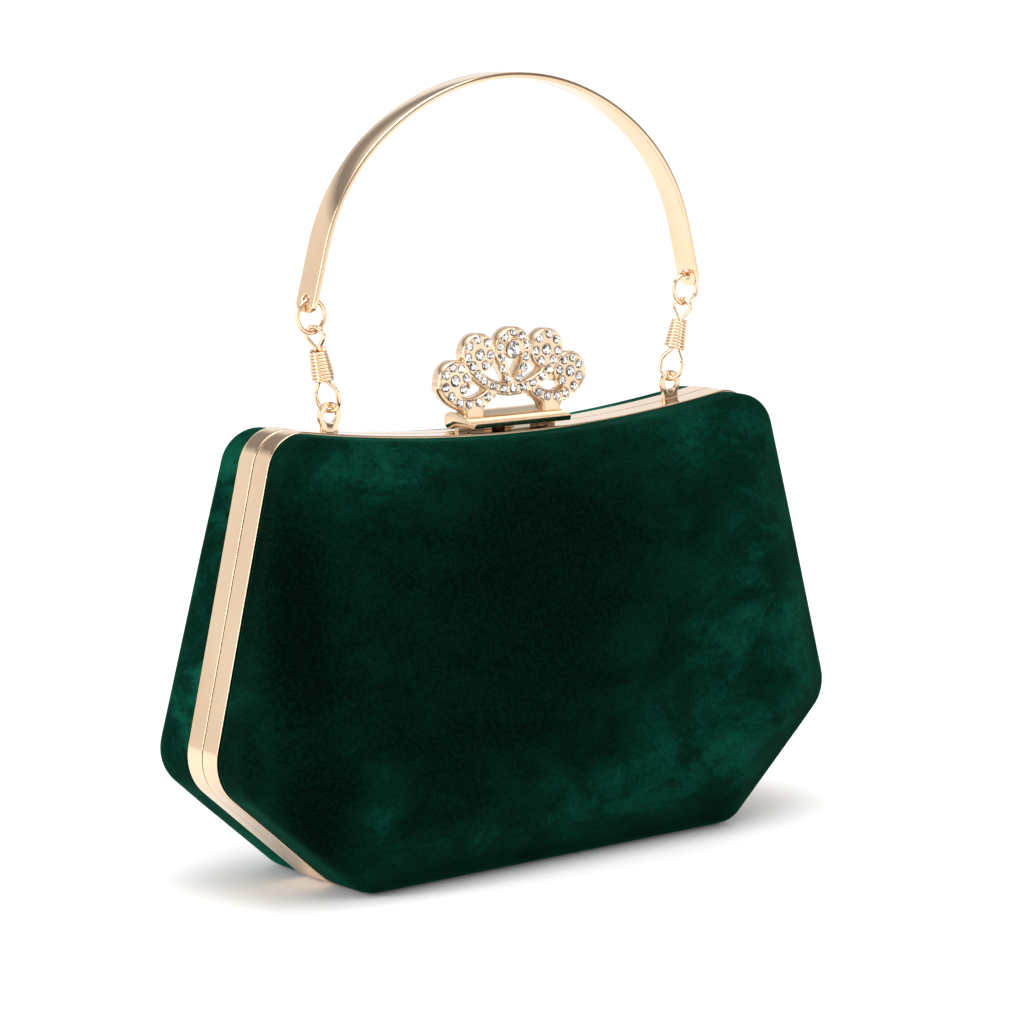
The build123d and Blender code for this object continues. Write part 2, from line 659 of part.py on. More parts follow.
def make_ring(side, name):
    """The jump ring between the hook's eye and the handle's end."""
    plane = hook_plane(side)
    centre = plane.origin + plane.y_dir * (EYE_JOINT + RING_RADIUS)
    with BuildPart() as ring:
        with BuildSketch(Plane(origin=centre, x_dir=(1, 0, 0), z_dir=(0, 0, 1))):
            with Locations((RING_RADIUS, 0)):
                Circle(RING_WIRE_RADIUS)
        revolve(axis=Axis(centre, (0, 1, 0)))
    save(ring.part, f"{name}_ring")


def make_handle():
    """Flat metal strip bent to an arch, with rounded, drilled ends."""
    crown_centre = HANDLE_TOP - CROWN_ARC_RADIUS
    a, b = radians(CROWN_ARC_ANGLE), radians(LEG_ANGLE)
    step = CROWN_ARC_RADIUS - SHOULDER_RADIUS
    shoulder = (step * sin(a), crown_centre + step * cos(a))
    leg_top = (shoulder[0] + SHOULDER_RADIUS * sin(b), shoulder[1] + SHOULDER_RADIUS * cos(b))
    leg = (leg_top[1] - HOLE_Z) / sin(b) + END_MARGIN
    leg_end = (leg_top[0] + leg * cos(b), leg_top[1] - leg * sin(b))
    mid = (a + b) / 2
    shoulder_start = (CROWN_ARC_RADIUS * sin(a), crown_centre + CROWN_ARC_RADIUS * cos(a))
    shoulder_mid = (shoulder[0] + SHOULDER_RADIUS * sin(mid), shoulder[1] + SHOULDER_RADIUS * cos(mid))
    hole = (leg_end[0] - END_MARGIN * cos(b), leg_end[1] + END_MARGIN * sin(b))
    with BuildPart() as bar:
        with BuildLine(Plane.XZ.offset(-TAB_Y)) as path:
            Line(leg_end, leg_top)
            ThreePointArc(leg_top, shoulder_mid, shoulder_start)
            ThreePointArc(shoulder_start, (0, HANDLE_TOP), (-shoulder_start[0], shoulder_start[1]))
            ThreePointArc((-shoulder_start[0], shoulder_start[1]), (-shoulder_mid[0], shoulder_mid[1]),
                          (-leg_top[0], leg_top[1]))
            Line((-leg_top[0], leg_top[1]), (-leg_end[0], leg_end[1]))
        with BuildSketch(Plane(origin=path.line @ 0, x_dir=(0, 1, 0), z_dir=path.line % 0)):
            Rectangle(STRIP_WIDTH, STRIP_THICKNESS)
        sweep()
        chamfer(bar.edges().filter_by(lambda e: e.length > STRIP_WIDTH + 1), STRIP_CHAMFER)
        for side in (-1, 1):
            tangent = Vector(side * cos(b), 0, -sin(b))
            strip_face = Plane(origin=(side * hole[0], TAB_Y, hole[1]), x_dir=(0, 1, 0),
                               z_dir=tangent.cross(Vector(0, 1, 0)))
            with BuildSketch(strip_face):
                Circle(HANDLE_HOLE_RADIUS)
            extrude(amount=STRIP_THICKNESS, both=True, mode=Mode.SUBTRACT)
        ends = bar.edges().filter_by(lambda e: abs(e.length - STRIP_THICKNESS) < 0.7)
        low = ends.filter_by(lambda e: e.center().Z < hole[1])
        ring_ends = [e for e in low if abs(abs(e.center().Y - TAB_Y) - STRIP_WIDTH / 2) < 0.2]
        fillet(ring_ends, END_CORNER_RADIUS)
    save(bar.part, "handle_bar")


make_shells()
make_pocket()
for is_front in (True, False):
    make_frame(is_front)
    make_hinge_leaf(is_front)
make_hinge_pin()
make_rivets()
make_clasp_base()
make_clasp_pin()
make_clasp_spring()
make_clasp_flap()
make_latch()
make_crown()
make_stones()
for sign, word in ((-1, "left"), (1, "right")):
    make_tab(sign, f"{word}_tab")
    make_hook(sign, word)
    make_coil(sign, word)
    make_gate(sign, word)
    make_ring(sign, word)
make_handle()
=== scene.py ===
import math

import bmesh
import bpy
import numpy as np
from mathutils import Matrix, Vector, noise


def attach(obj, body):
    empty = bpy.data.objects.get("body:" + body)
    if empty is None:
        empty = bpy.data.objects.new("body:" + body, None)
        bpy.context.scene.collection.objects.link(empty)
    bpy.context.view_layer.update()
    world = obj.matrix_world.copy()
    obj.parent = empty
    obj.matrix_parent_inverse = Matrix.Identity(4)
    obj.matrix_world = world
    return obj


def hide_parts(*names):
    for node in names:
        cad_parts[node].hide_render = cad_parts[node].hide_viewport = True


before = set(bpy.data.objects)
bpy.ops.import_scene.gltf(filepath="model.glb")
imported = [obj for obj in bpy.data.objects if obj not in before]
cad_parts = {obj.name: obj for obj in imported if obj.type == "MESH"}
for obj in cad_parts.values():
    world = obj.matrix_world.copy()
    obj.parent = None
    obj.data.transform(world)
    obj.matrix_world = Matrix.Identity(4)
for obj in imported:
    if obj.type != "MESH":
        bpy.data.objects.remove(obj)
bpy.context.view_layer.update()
mm = 0.001
print("frame loaded:", len(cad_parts), "nodes")

cameraSet = {
    "azimuth": 39.51, "elevation": 8.77, "roll": 0.16,  # degrees
    "distance": 0.9702, "lens": 122.66,
    "aim": (0.0009, -0.0008, 0.0947),
}


def makeCamera(s):
    turn, tilt = math.radians(s["azimuth"]), math.radians(s["elevation"])
    look = Vector((math.sin(turn) * math.cos(tilt), math.cos(turn) * math.cos(tilt), -math.sin(tilt)))
    right = Vector((math.cos(turn), -math.sin(turn), 0))
    up = right.cross(look)
    roll = math.radians(s["roll"])
    rolledRight = right * math.cos(roll) + up * math.sin(roll)
    rolledUp = up * math.cos(roll) - right * math.sin(roll)
    data = bpy.data.cameras.new("camera")
    data.lens = s["lens"]
    data.clip_start, data.clip_end = 0.01, 300
    camera = bpy.data.objects.new("camera", data)
    axes = Matrix((rolledRight, rolledUp, -look)).transposed()
    camera.matrix_world = Matrix.Translation(Vector(s["aim"]) - look * s["distance"]) @ axes.to_4x4()
    bpy.context.collection.objects.link(camera)
    bpy.context.scene.camera = camera


studioSet = {
    "floorColor": (0.95, 0.95, 0.95), "floorSize": 160.0,
    "worldStrength": 1.06,
    # brightness by height: a pale room, a dark gap, and a bright ceiling
    "bands": ((0.5, 0.95), (0.70, 0.98), (0.765, 0.30), (0.82, 0.34), (0.88, 1.05), (1.0, 1.1)),
    "darkTo": (0.64, -0.74, -0.1), "darkFrom": 0.72, "darkFull": 0.93, "darkLevel": 0.22,
    # name, place, aim, size, power, color
    "lamps": [
        ("overhead", (-0.15, -0.25, 1.3), (0, 0, 0.06), (1.1, 0.9), 9.0),
        ("leftSide", (-1.2, 0.15, 0.55), (0, 0, 0.08), (0.35, 0.9), 7.0),
        ("frontRight", (0.55, -1.2, 0.75), (0, 0, 0.08), (0.5, 0.7), 4.0),
    ],
}


def makeStudio(s):
    bpy.context.scene.view_settings.view_transform = "Standard"
    world = bpy.data.worlds.new("studio")
    bpy.context.scene.world = world
    world.use_nodes = True
    tree = world.node_tree
    coord = addNode(tree, "ShaderNodeTexCoord")
    split = addNode(tree, "ShaderNodeSeparateXYZ")
    rise = rangeNode(tree, -1.0, 1.0, 0.0, 1.0)
    ramp = addNode(tree, "ShaderNodeValToRGB")
    link(coord.outputs["Generated"], split.inputs[0])
    link(split.outputs["Z"], rise.inputs["Value"])
    link(rise.outputs["Result"], ramp.inputs[0])
    ramp.color_ramp.elements.remove(ramp.color_ramp.elements[1])
    for i, (place, level) in enumerate(s["bands"]):
        stop = ramp.color_ramp.elements[0] if i == 0 else ramp.color_ramp.elements.new(place)
        stop.position, stop.color = place, (level, level, level, 1)
    facing = addNode(tree, "ShaderNodeVectorMath", {"operation": "DOT_PRODUCT"}, {1: s["darkTo"]})
    link(coord.outputs["Generated"], facing.inputs[0])
    shade = rangeNode(tree, s["darkFrom"], s["darkFull"], 1.0, s["darkLevel"])
    link(facing.outputs["Value"], shade.inputs["Value"])
    both = addNode(tree, "ShaderNodeMix", {"data_type": "RGBA", "blend_type": "MULTIPLY"}, {0: 1.0})
    link(ramp.outputs[0], both.inputs[6])
    link(shade.outputs["Result"], both.inputs[7])
    background = tree.nodes["Background"]
    link(both.outputs[2], background.inputs["Color"])
    background.inputs["Strength"].default_value = s["worldStrength"]
    for name, place, aim, size, power in s["lamps"]:
        data = bpy.data.lights.new(name, "AREA")
        data.shape, data.size, data.size_y = "RECTANGLE", size[0], size[1]
        data.energy = power
        lamp = bpy.data.objects.new(name, data)
        lamp.location = place
        lamp.rotation_euler = (Vector(aim) - Vector(place)).to_track_quat("-Z", "Y").to_euler()
        bpy.context.collection.objects.link(lamp)
    half = s["floorSize"] / 2
    corners = [(-half, -half, 0), (half, -half, 0), (half, half, 0), (-half, half, 0)]
    floor = makePiece("floor", corners, [(0, 1, 2, 3)])
    floor.data.materials.append(floorMaterial(s["floorColor"]))


def makePiece(name, points, faces):
    mesh = bpy.data.meshes.new(name)
    mesh.from_pydata([tuple(p) for p in points], [], faces)
    piece = bpy.data.objects.new(name, mesh)
    bpy.context.collection.objects.link(piece)
    return piece


def closeUp(piece, smooth=True, weld=1e-7):
    # weld doubles, turn every face outwards, and shade
    work = bmesh.new()
    work.from_mesh(piece.data)
    bmesh.ops.remove_doubles(work, verts=work.verts, dist=weld)
    wide = [f for f in work.faces if len(f.verts) > 60]
    bmesh.ops.triangulate(work, faces=wide, quad_method="BEAUTY", ngon_method="BEAUTY")
    bmesh.ops.recalc_face_normals(work, faces=work.faces)
    if work.calc_volume(signed=True) < 0:
        bmesh.ops.reverse_faces(work, faces=work.faces)
    for face in work.faces:
        face.smooth = smooth
    work.to_mesh(piece.data)
    work.free()
    return piece


def sharpen(piece, degrees):
    piece.data.set_sharp_from_angle(angle=math.radians(degrees))


def quadsBetween(ringCount, ringSize, closedRings=False):
    last = ringCount if closedRings else ringCount - 1
    faces = []
    for r in range(last):
        a, b = r * ringSize, (r + 1) % ringCount * ringSize
        for i in range(ringSize):
            j = (i + 1) % ringSize
            faces.append((a + i, a + j, b + j, b + i))
    return faces


def finishPiece(piece, body, slotName, material, *nodes):
    piece.data.materials.clear()
    piece.data.materials.append(material)
    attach(piece, body)
    if nodes:
        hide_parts(*nodes)
    return piece


def mirrored(points):
    return np.asarray(points) * (1, -1, 1)


def newGroup(name, inputs, outputs):
    tree = bpy.data.node_groups.new(name, "ShaderNodeTree")
    for label, kind, value in inputs:
        socket = tree.interface.new_socket(label, in_out="INPUT", socket_type=kind)
        socket.default_value = value
    for label, kind in outputs:
        tree.interface.new_socket(label, in_out="OUTPUT", socket_type=kind)
    return tree, tree.nodes.new("NodeGroupInput"), tree.nodes.new("NodeGroupOutput")


def addNode(tree, kind, settings=None, values=None):
    node = tree.nodes.new(kind)
    for key, value in (settings or {}).items():
        setattr(node, key, value)
    for key, value in (values or {}).items():
        node.inputs[key].default_value = value
    return node


def link(source, target):
    source.id_data.links.new(source, target)


def rangeNode(tree, low, high, toLow, toHigh):
    return addNode(tree, "ShaderNodeMapRange", None,
                   {"From Min": low, "From Max": high, "To Min": toLow, "To Max": toHigh})


def makeWearGroup():
    # handling marks on polished metal: a roughness that drifts, and faint fine scratches
    tree, given, out = newGroup(
        "metalWear",
        [("Scale", "NodeSocketFloat", 60.0), ("Low Roughness", "NodeSocketFloat", 0.1),
         ("High Roughness", "NodeSocketFloat", 0.2), ("Scratch", "NodeSocketFloat", 0.1)],
        [("Roughness", "NodeSocketFloat"), ("Height", "NodeSocketFloat")])
    coord = addNode(tree, "ShaderNodeTexCoord")
    drift = addNode(tree, "ShaderNodeTexNoise", None, {"Detail": 4.0, "Roughness": 0.6})
    link(coord.outputs["Object"], drift.inputs["Vector"])
    link(given.outputs["Scale"], drift.inputs["Scale"])
    spread = addNode(tree, "ShaderNodeMapRange", None, {"From Min": 0.35, "From Max": 0.7})
    link(drift.outputs["Fac"], spread.inputs["Value"])
    link(given.outputs["Low Roughness"], spread.inputs["To Min"])
    link(given.outputs["High Roughness"], spread.inputs["To Max"])
    link(spread.outputs["Result"], out.inputs["Roughness"])
    stretch = addNode(tree, "ShaderNodeMapping", None, {"Scale": (1.0, 9.0, 1.0)})
    link(coord.outputs["Object"], stretch.inputs["Vector"])
    fine = addNode(tree, "ShaderNodeTexNoise", None, {"Scale": 900.0, "Detail": 3.0})
    link(stretch.outputs["Vector"], fine.inputs["Vector"])
    scratch = addNode(tree, "ShaderNodeMath", {"operation": "MULTIPLY"})
    link(fine.outputs["Fac"], scratch.inputs[0])
    link(given.outputs["Scratch"], scratch.inputs[1])
    link(scratch.outputs[0], out.inputs["Height"])
    return tree


def makeNapGroup():
    # brushed pile: large soft marks, streaks along the brushing, and the fine grain of the fibres
    tree, given, out = newGroup(
        "brushedNap",
        [("Mark Scale", "NodeSocketFloat", 28.0), ("Grain Scale", "NodeSocketFloat", 1800.0)],
        [("Marks", "NodeSocketFloat"), ("Grain", "NodeSocketFloat")])
    coord = addNode(tree, "ShaderNodeTexCoord")
    lean = addNode(tree, "ShaderNodeMapping", None,
                   {"Rotation": (0.0, math.radians(25), 0.0), "Scale": (0.8, 1.0, 1.35)})
    link(coord.outputs["Object"], lean.inputs["Vector"])
    clouds = addNode(tree, "ShaderNodeTexNoise", None,
                     {"Detail": 7.0, "Roughness": 0.68, "Distortion": 0.35})
    link(lean.outputs["Vector"], clouds.inputs["Vector"])
    link(given.outputs["Mark Scale"], clouds.inputs["Scale"])
    spread = rangeNode(tree, 0.36, 0.68, 0.0, 1.0)
    spread.interpolation_type = "SMOOTHSTEP"
    link(clouds.outputs["Fac"], spread.inputs["Value"])
    link(spread.outputs["Result"], out.inputs["Marks"])
    fibres = addNode(tree, "ShaderNodeTexNoise", None, {"Detail": 2.0, "Roughness": 0.7})
    link(coord.outputs["Object"], fibres.inputs["Vector"])
    link(given.outputs["Grain Scale"], fibres.inputs["Scale"])
    link(fibres.outputs["Fac"], out.inputs["Grain"])
    return tree


wearGroup = makeWearGroup()
napGroup = makeNapGroup()


def startMaterial(name, values):
    material = bpy.data.materials.new(name)
    material.use_nodes = True
    shader = material.node_tree.nodes["Principled BSDF"]
    for key, value in values.items():
        shader.inputs[key].default_value = value
    return material, material.node_tree, shader


def addBump(tree, shader, height, strength, distance):
    bump = addNode(tree, "ShaderNodeBump", None, {"Strength": strength, "Distance": distance})
    link(height, bump.inputs["Height"])
    link(bump.outputs["Normal"], shader.inputs["Normal"])


def colorRamp(tree, shader, source, low, high):
    # the base colour runs from low to high as the source does
    node = addNode(tree, "ShaderNodeValToRGB")
    node.color_ramp.elements[0].color = (*low, 1)
    node.color_ramp.elements[1].color = (*high, 1)
    link(source, node.inputs[0])
    link(node.outputs[0], shader.inputs["Base Color"])
    return node.color_ramp


def metalMaterial(name, color, low, high, scratch):
    material, tree, shader = startMaterial(name, {"Metallic": 1.0})
    wear = addNode(tree, "ShaderNodeGroup", {"node_tree": wearGroup},
                   {"Low Roughness": low, "High Roughness": high, "Scratch": scratch})
    tint = addNode(tree, "ShaderNodeTexNoise", None, {"Scale": 35.0, "Detail": 2.0})
    coord = addNode(tree, "ShaderNodeTexCoord")
    link(coord.outputs["Object"], tint.inputs["Vector"])
    dull = (color[0] * 0.93, color[1] * 0.9, color[2] * 0.86)
    ramp = colorRamp(tree, shader, tint.outputs["Fac"], dull, color)
    ramp.elements[0].position, ramp.elements[1].position = 0.35, 0.6
    link(wear.outputs["Roughness"], shader.inputs["Roughness"])
    addBump(tree, shader, wear.outputs["Height"], 0.25, 0.00005)
    return material


velvetSet = {
    # the pile's colours, run from deep to lit by the painted sheen and shade
    "deep": (0.0001, 0.0028, 0.0016), "body": (0.0006, 0.0160, 0.0095), "lit": (0.0026, 0.064, 0.038),
    "sheenTint": (0.004, 0.50, 0.30), "sheen": 0.17, "sheenRoughness": 0.3,
    "markScale": 44.0, "grainScale": 900.0,
}


def velvetMaterial(s):
    material, tree, shader = startMaterial("velvetPile", {
        "Roughness": 0.9, "Specular IOR Level": 0.015, "Sheen Weight": s["sheen"],
        "Sheen Roughness": s["sheenRoughness"], "Sheen Tint": (*s["sheenTint"], 1)})
    nap = addNode(tree, "ShaderNodeGroup", {"node_tree": napGroup},
                  {"Mark Scale": s["markScale"], "Grain Scale": s["grainScale"]})
    paintedSheenMarks = addNode(tree, "ShaderNodeAttribute", {"attribute_name": "paintedSheenMarks"})
    # the marks show most where sheen is painted on; the painted sheen and shade set how light the pile is
    spread = rangeNode(tree, 0.0, 1.0, 0.45, 1.35)
    link(nap.outputs["Marks"], spread.inputs["Value"])
    weigh = addNode(tree, "ShaderNodeMath", {"operation": "MULTIPLY_ADD"})
    link(paintedSheenMarks.outputs["Fac"], weigh.inputs[0])
    link(spread.outputs["Result"], weigh.inputs[1])
    grain = rangeNode(tree, 0.3, 0.7, -0.11, 0.11)
    link(nap.outputs["Grain"], grain.inputs["Value"])
    link(grain.outputs["Result"], weigh.inputs[2])
    ramp = colorRamp(tree, shader, weigh.outputs[0], s["deep"], s["lit"])
    ramp.elements.new(0.4).color = (*s["body"], 1)
    addBump(tree, shader, nap.outputs["Grain"], 0.35, 0.0002)
    return material


def satinMaterial():
    material, tree, shader = startMaterial("satinLining", {
        "Specular IOR Level": 0.5, "Sheen Weight": 0.3, "Sheen Roughness": 0.4})
    nap = addNode(tree, "ShaderNodeGroup", {"node_tree": napGroup},
                  {"Mark Scale": 18.0, "Grain Scale": 1400.0})
    colorRamp(tree, shader, nap.outputs["Marks"], (0.006, 0.05, 0.035), (0.012, 0.085, 0.06))
    rough = rangeNode(tree, 0.0, 1.0, 0.32, 0.5)
    link(nap.outputs["Marks"], rough.inputs["Value"])
    link(rough.outputs["Result"], shader.inputs["Roughness"])
    weave = addNode(tree, "ShaderNodeTexWave", None, {"Scale": 1100.0, "Distortion": 1.5})
    coord = addNode(tree, "ShaderNodeTexCoord")
    link(coord.outputs["Object"], weave.inputs["Vector"])
    addBump(tree, shader, weave.outputs["Fac"], 0.2, 0.0001)
    return material


def boardMaterial():
    material, tree, shader = startMaterial("shellBoard", {"Roughness": 0.8})
    nap = addNode(tree, "ShaderNodeGroup", {"node_tree": napGroup}, {"Grain Scale": 700.0})
    colorRamp(tree, shader, nap.outputs["Grain"], (0.05, 0.05, 0.048), (0.09, 0.085, 0.08))
    addBump(tree, shader, nap.outputs["Grain"], 0.3, 0.0002)
    return material


def stoneMaterial():
    # foil-backed glass: every face gets a random grey from near black to white, a painted reflection of a
    # bright or a dark part of the room
    material, tree, shader = startMaterial("cutGlass", {
        "Metallic": 0.72, "IOR": 1.6, "Roughness": 0.04, "Coat Weight": 1.0, "Coat Roughness": 0.02})
    paintedFacetGlint = addNode(tree, "ShaderNodeAttribute", {"attribute_name": "paintedFacetGlint"})
    ramp = colorRamp(tree, shader, paintedFacetGlint.outputs["Fac"], (0.05, 0.05, 0.055), (1.0, 1.0, 1.0))
    for place, level in ((0.16, 0.12), (0.34, 0.5), (0.6, 0.86)):
        ramp.elements.new(place).color = (level, level, level * 1.02, 1)
    return material


def floorMaterial(color):
    # away from the lamps the floor fades up to plain white
    material, tree, shader = startMaterial("paleFloor", {
        "Roughness": 0.6, "Specular IOR Level": 0.2, "Emission Strength": 1.0})
    shader.inputs["Base Color"].default_value = (*color, 1)
    coord = addNode(tree, "ShaderNodeTexCoord")
    reach = addNode(tree, "ShaderNodeVectorMath", {"operation": "LENGTH"})
    link(coord.outputs["Object"], reach.inputs[0])
    fade = rangeNode(tree, 0.35, 2.2, 0.03, 0.35)
    link(reach.outputs["Value"], fade.inputs["Value"])
    link(fade.outputs["Result"], shader.inputs["Emission Color"])
    return material


materials = {
    "gold": metalMaterial("polishedGold", (0.83, 0.625, 0.44), 0.07, 0.14, 0.1),
    # dark rough gold: painted shade for the grooves between the clasp ribs
    "grooveShadeGold": metalMaterial("grooveShadeGold", (0.40, 0.27, 0.16), 0.3, 0.42, 0.2),
    "castGold": metalMaterial("castGold", (0.81, 0.615, 0.435), 0.15, 0.23, 0.2),
    "steel": metalMaterial("platedSteel", (0.62, 0.53, 0.42), 0.2, 0.32, 0.2),
    "velvet": velvetMaterial(velvetSet),
    "satin": satinMaterial(),
    "board": boardMaterial(),
    "stone": stoneMaterial(),
}
print("materials made:", len(materials))
makeCamera(cameraSet)
makeStudio(studioSet)

# the case's outline in the front view, in millimetres
caseShape = {
    "halfWidth": 105.0, "widestHeight": 33.8, "baseHalfWidth": 66.1, "topHalfWidth": 84.0,
    "topHeight": 125.5, "topSag": 7.2,
    "radii": (14.0, 10.0, 11.0),  # at the widest, base and top corners
    "faceRadii": (9.0, 8.0, 9.0), "faceInset": 17.3,
    "wallDepth": (23.8, 15.4), "faceDepth": (34.4, 24.4),  # at the base and at the top corners
    "bandWidth": 6.7, "bandThickness": 1.3,
    "middleHeight": 62.0, "spineHalf": 38.0,  # the line that a face's rings close on
}
topRadius = (caseShape["topHalfWidth"] ** 2 + caseShape["topSag"] ** 2) / (2 * caseShape["topSag"])
topCentre = caseShape["topHeight"] - caseShape["topSag"] + topRadius


def topEdge(x, inset=0.0):
    return topCentre - np.sqrt((topRadius + inset) ** 2 - np.asarray(x) ** 2)


def sideAt(height, inset):
    c = caseShape
    run, rise = c["halfWidth"] - c["topHalfWidth"], c["topHeight"] - c["widestHeight"]
    return c["halfWidth"] - run * (height - c["widestHeight"]) / rise - inset * math.hypot(run, rise) / rise


def lowerSideAt(height, inset):
    c = caseShape
    run, rise = c["halfWidth"] - c["baseHalfWidth"], c["widestHeight"]
    return c["baseHalfWidth"] + run * height / rise - inset * math.hypot(run, rise) / rise


def roundedCorner(before, corner, after, radius, count):
    into = (before - corner) / np.linalg.norm(before - corner)
    away = (after - corner) / np.linalg.norm(after - corner)
    half = math.acos(np.clip(into @ away, -1, 1)) / 2
    bisector = (into + away) / np.linalg.norm(into + away)
    centre = corner + bisector * radius / math.sin(half)
    start = corner + into * radius / math.tan(half) - centre
    sweep = math.pi - 2 * half
    side = -np.sign(start[0] * into[1] - start[1] * into[0])
    angles = np.linspace(0, sweep, count) * side
    turn = np.array([[np.cos(angles), -np.sin(angles)], [np.sin(angles), np.cos(angles)]])
    return centre + np.einsum("ijn,j->ni", turn, start)


def outlineLoop(inset, base, radii):
    # the same number of points for every inset, counter-clockwise from the middle of the base
    low = caseShape["widestHeight"]
    up = sideAt(low + 1, inset) - sideAt(low, inset)
    down = lowerSideAt(low + 1, inset) - lowerSideAt(low, inset)
    widest = low + (sideAt(low, inset) - lowerSideAt(low, inset)) / (down - up)
    top = caseShape["topHeight"] - inset
    for _ in range(4):
        top = float(topEdge(sideAt(top, inset), inset))
    baseCorner = np.array([lowerSideAt(base, inset), base])
    wideCorner = np.array([sideAt(widest, inset), widest])
    topCorner = np.array([sideAt(top, inset), top])
    slope = topCorner[0] / math.sqrt((topRadius + inset) ** 2 - topCorner[0] ** 2)
    inward = topCorner + np.array([-1.0, -slope])
    middle = np.array([0.0, base])
    cornerBase = roundedCorner(middle, baseCorner, wideCorner, radii[1], 13)
    cornerWide = roundedCorner(baseCorner, wideCorner, topCorner, radii[0], 15)
    cornerTop = roundedCorner(wideCorner, topCorner, inward, radii[2], 13)
    gap = float(topEdge(cornerTop[-1][0], inset)) - cornerTop[-1][1]
    cornerTop[:, 1] += gap * np.linspace(0, 1, 13)
    xs = np.linspace(cornerTop[-1][0], 0, 42)[1:-1]

    def straight(a, b, count):
        return a + (b - a) * np.linspace(0, 1, count + 2)[1:-1, None]

    right = np.vstack([
        middle[None], straight(middle, cornerBase[0], 24), cornerBase,
        straight(cornerBase[-1], cornerWide[0], 16), cornerWide,
        straight(cornerWide[-1], cornerTop[0], 36), cornerTop,
        np.stack([xs, topEdge(xs, inset)], 1)])
    top = np.array([[0.0, float(topEdge(0.0, inset))]])
    left = right[:0:-1] * (-1, 1)
    return np.vstack([right, top, left])


def tightRadii(inset):
    return [max(r - inset, 2.5) for r in caseShape["radii"]]


def depthAt(pair, heights):
    return pair[0] + (pair[1] - pair[0]) * np.asarray(heights) / caseShape["topHeight"]


def profileWeights(steps):
    # blends of four stations: rim, wall crease, face crease, face; the two creases are rounded
    def bezier(a, b, c, count):
        t = np.linspace(0, 1, count)[:, None]
        return a * (1 - t) ** 2 + 2 * b * t * (1 - t) + c * t ** 2

    station = np.eye(4)
    rim, wall, crease, face = station
    intoWall, outOfWall = rim + (wall - rim) * 0.62, wall + (crease - wall) * 0.26
    intoFace, outOfFace = wall + (crease - wall) * 0.52, crease + (face - crease) * 0.75
    rows = [rim[None], rim + (intoWall - rim) * np.linspace(0.05, 1, steps)[:-1, None],
            bezier(intoWall, wall, outOfWall, steps + 3),
            outOfWall + (intoFace - outOfWall) * np.linspace(0, 1, 5)[1:-1, None],
            bezier(intoFace, crease, outOfFace, steps + 6),
            outOfFace + (face - outOfFace) * np.linspace(0, 1, 4)[1:, None]]
    return np.vstack(rows)


def caseRings(insets, bases, depthLoss, start, steps, collapse):
    # rings of one skin from its rim to the middle of its face, front half: y is negative
    rings, marks, walls = [], [], []
    c = caseShape
    for weights in profileWeights(steps):
        inset, base = weights @ insets, weights @ bases
        share = min(max(inset / c["faceInset"], 0), 1)
        outer, inner = np.array(tightRadii(inset)), np.array(c["faceRadii"])
        loop = outlineLoop(inset, base, outer * (1 - share) + inner * share)
        wall = depthAt(c["wallDepth"], loop[:, 1]) - depthLoss / 2
        face = depthAt(c["faceDepth"], loop[:, 1]) - depthLoss
        depth = weights[0] * start + weights[1] * wall + (weights[2] + weights[3]) * face
        rings.append(np.stack([loop[:, 0], -depth, loop[:, 1]], 1))
        marks.append(np.full(len(loop), weights[2] + weights[3] * 2))
        walls.append(weights[1])
    outermost = rings[-1]
    across = np.clip(outermost[:, 0], -c["spineHalf"], c["spineHalf"])
    spine = np.stack([across, outermost[:, 1], np.full(len(outermost), c["middleHeight"])], 1)
    spine[:, 1] = -(depthAt(c["faceDepth"], spine[:, 2]) - depthLoss)
    for t in collapse:
        rings.append(outermost * (1 - t) + spine * t)
        marks.append(np.full(len(outermost), 2 + t))
        walls.append(0.0)
    return np.array(rings), np.array(marks), np.array(walls)


coverSet = {
    "insets": (0.5, 0.8, 17.3, 29.0), "bases": (0.0, 0.0, 17.3, 29.0), "bulge": 1.35,
    "wall": 0.8, "steps": 9, "collapse": (0.12, 0.25, 0.38, 0.5, 0.62, 0.74, 0.85, 0.92),
    "tuck": 0.55, "dents": 0.28, "dentScale": 0.030, "crown": 0.9, "puff": 1.0,
    "depthLoss": 0.0, "start": 6.75,
}


def makeSkin(s):
    loss, insets, bases = s["depthLoss"], np.array(s["insets"]), np.array(s["bases"])
    outer, marks, walls = caseRings(insets, bases, loss, s["start"], s["steps"], s["collapse"])
    innerInsets = insets + (s["wall"], s["wall"], s["wall"] / 4, 0)
    inner, _, _ = caseRings(innerInsets, np.maximum(innerInsets, 0.9), loss + s["wall"], s["start"], 4,
                            (0.5, 0.9))
    size = outer.shape[1]
    shown = outer.copy()
    # cloth over padding: it swells a little between the creases and keeps faint hollows
    away = np.clip((marks - 0.15) / 1.2, 0, 1) * s["puff"]
    for r in range(len(outer)):
        for i in range(size):
            place = Vector(outer[r, i] * s["dentScale"])
            swell = noise.noise(place * 1.4) + 0.5 * noise.noise(place * 3.7)
            shown[r, i, 1] -= away[r, i] * (s["dents"] * swell + s["crown"] * min(marks[r, i] / 3, 1))
    # the sides stand out a little past the frame
    side = np.clip((np.abs(outer[:, :, 0]) - 60) / 30, 0, 1) * np.sign(outer[:, :, 0])
    shown[:, :, 0] += s["bulge"] * walls[:, None] * side
    # the rim is rolled under where it meets the frame
    shown[0] = outer[0]
    centre = np.array([0.0, 0.0, caseShape["middleHeight"]])
    toward = centre - outer[0]
    toward[:, 1] = 0
    toward /= np.linalg.norm(toward, axis=1)[:, None]
    low = outer[0][:, 2] < 0.6
    shown[0] += toward * s["tuck"]
    shown[0][low, 2] = s["tuck"]
    stack = np.vstack([shown[::-1].reshape(-1, 3), inner.reshape(-1, 3)])
    rows = len(shown) + len(inner)
    faces = quadsBetween(rows, size)
    faces.append(tuple(range(size - 1, -1, -1)))
    faces.append(tuple(range((rows - 1) * size, rows * size)))
    paintedSheenMarks = np.concatenate([marks[::-1].ravel(), np.zeros(inner.shape[0] * size)])
    return stack * mm, faces, paintedSheenMarks


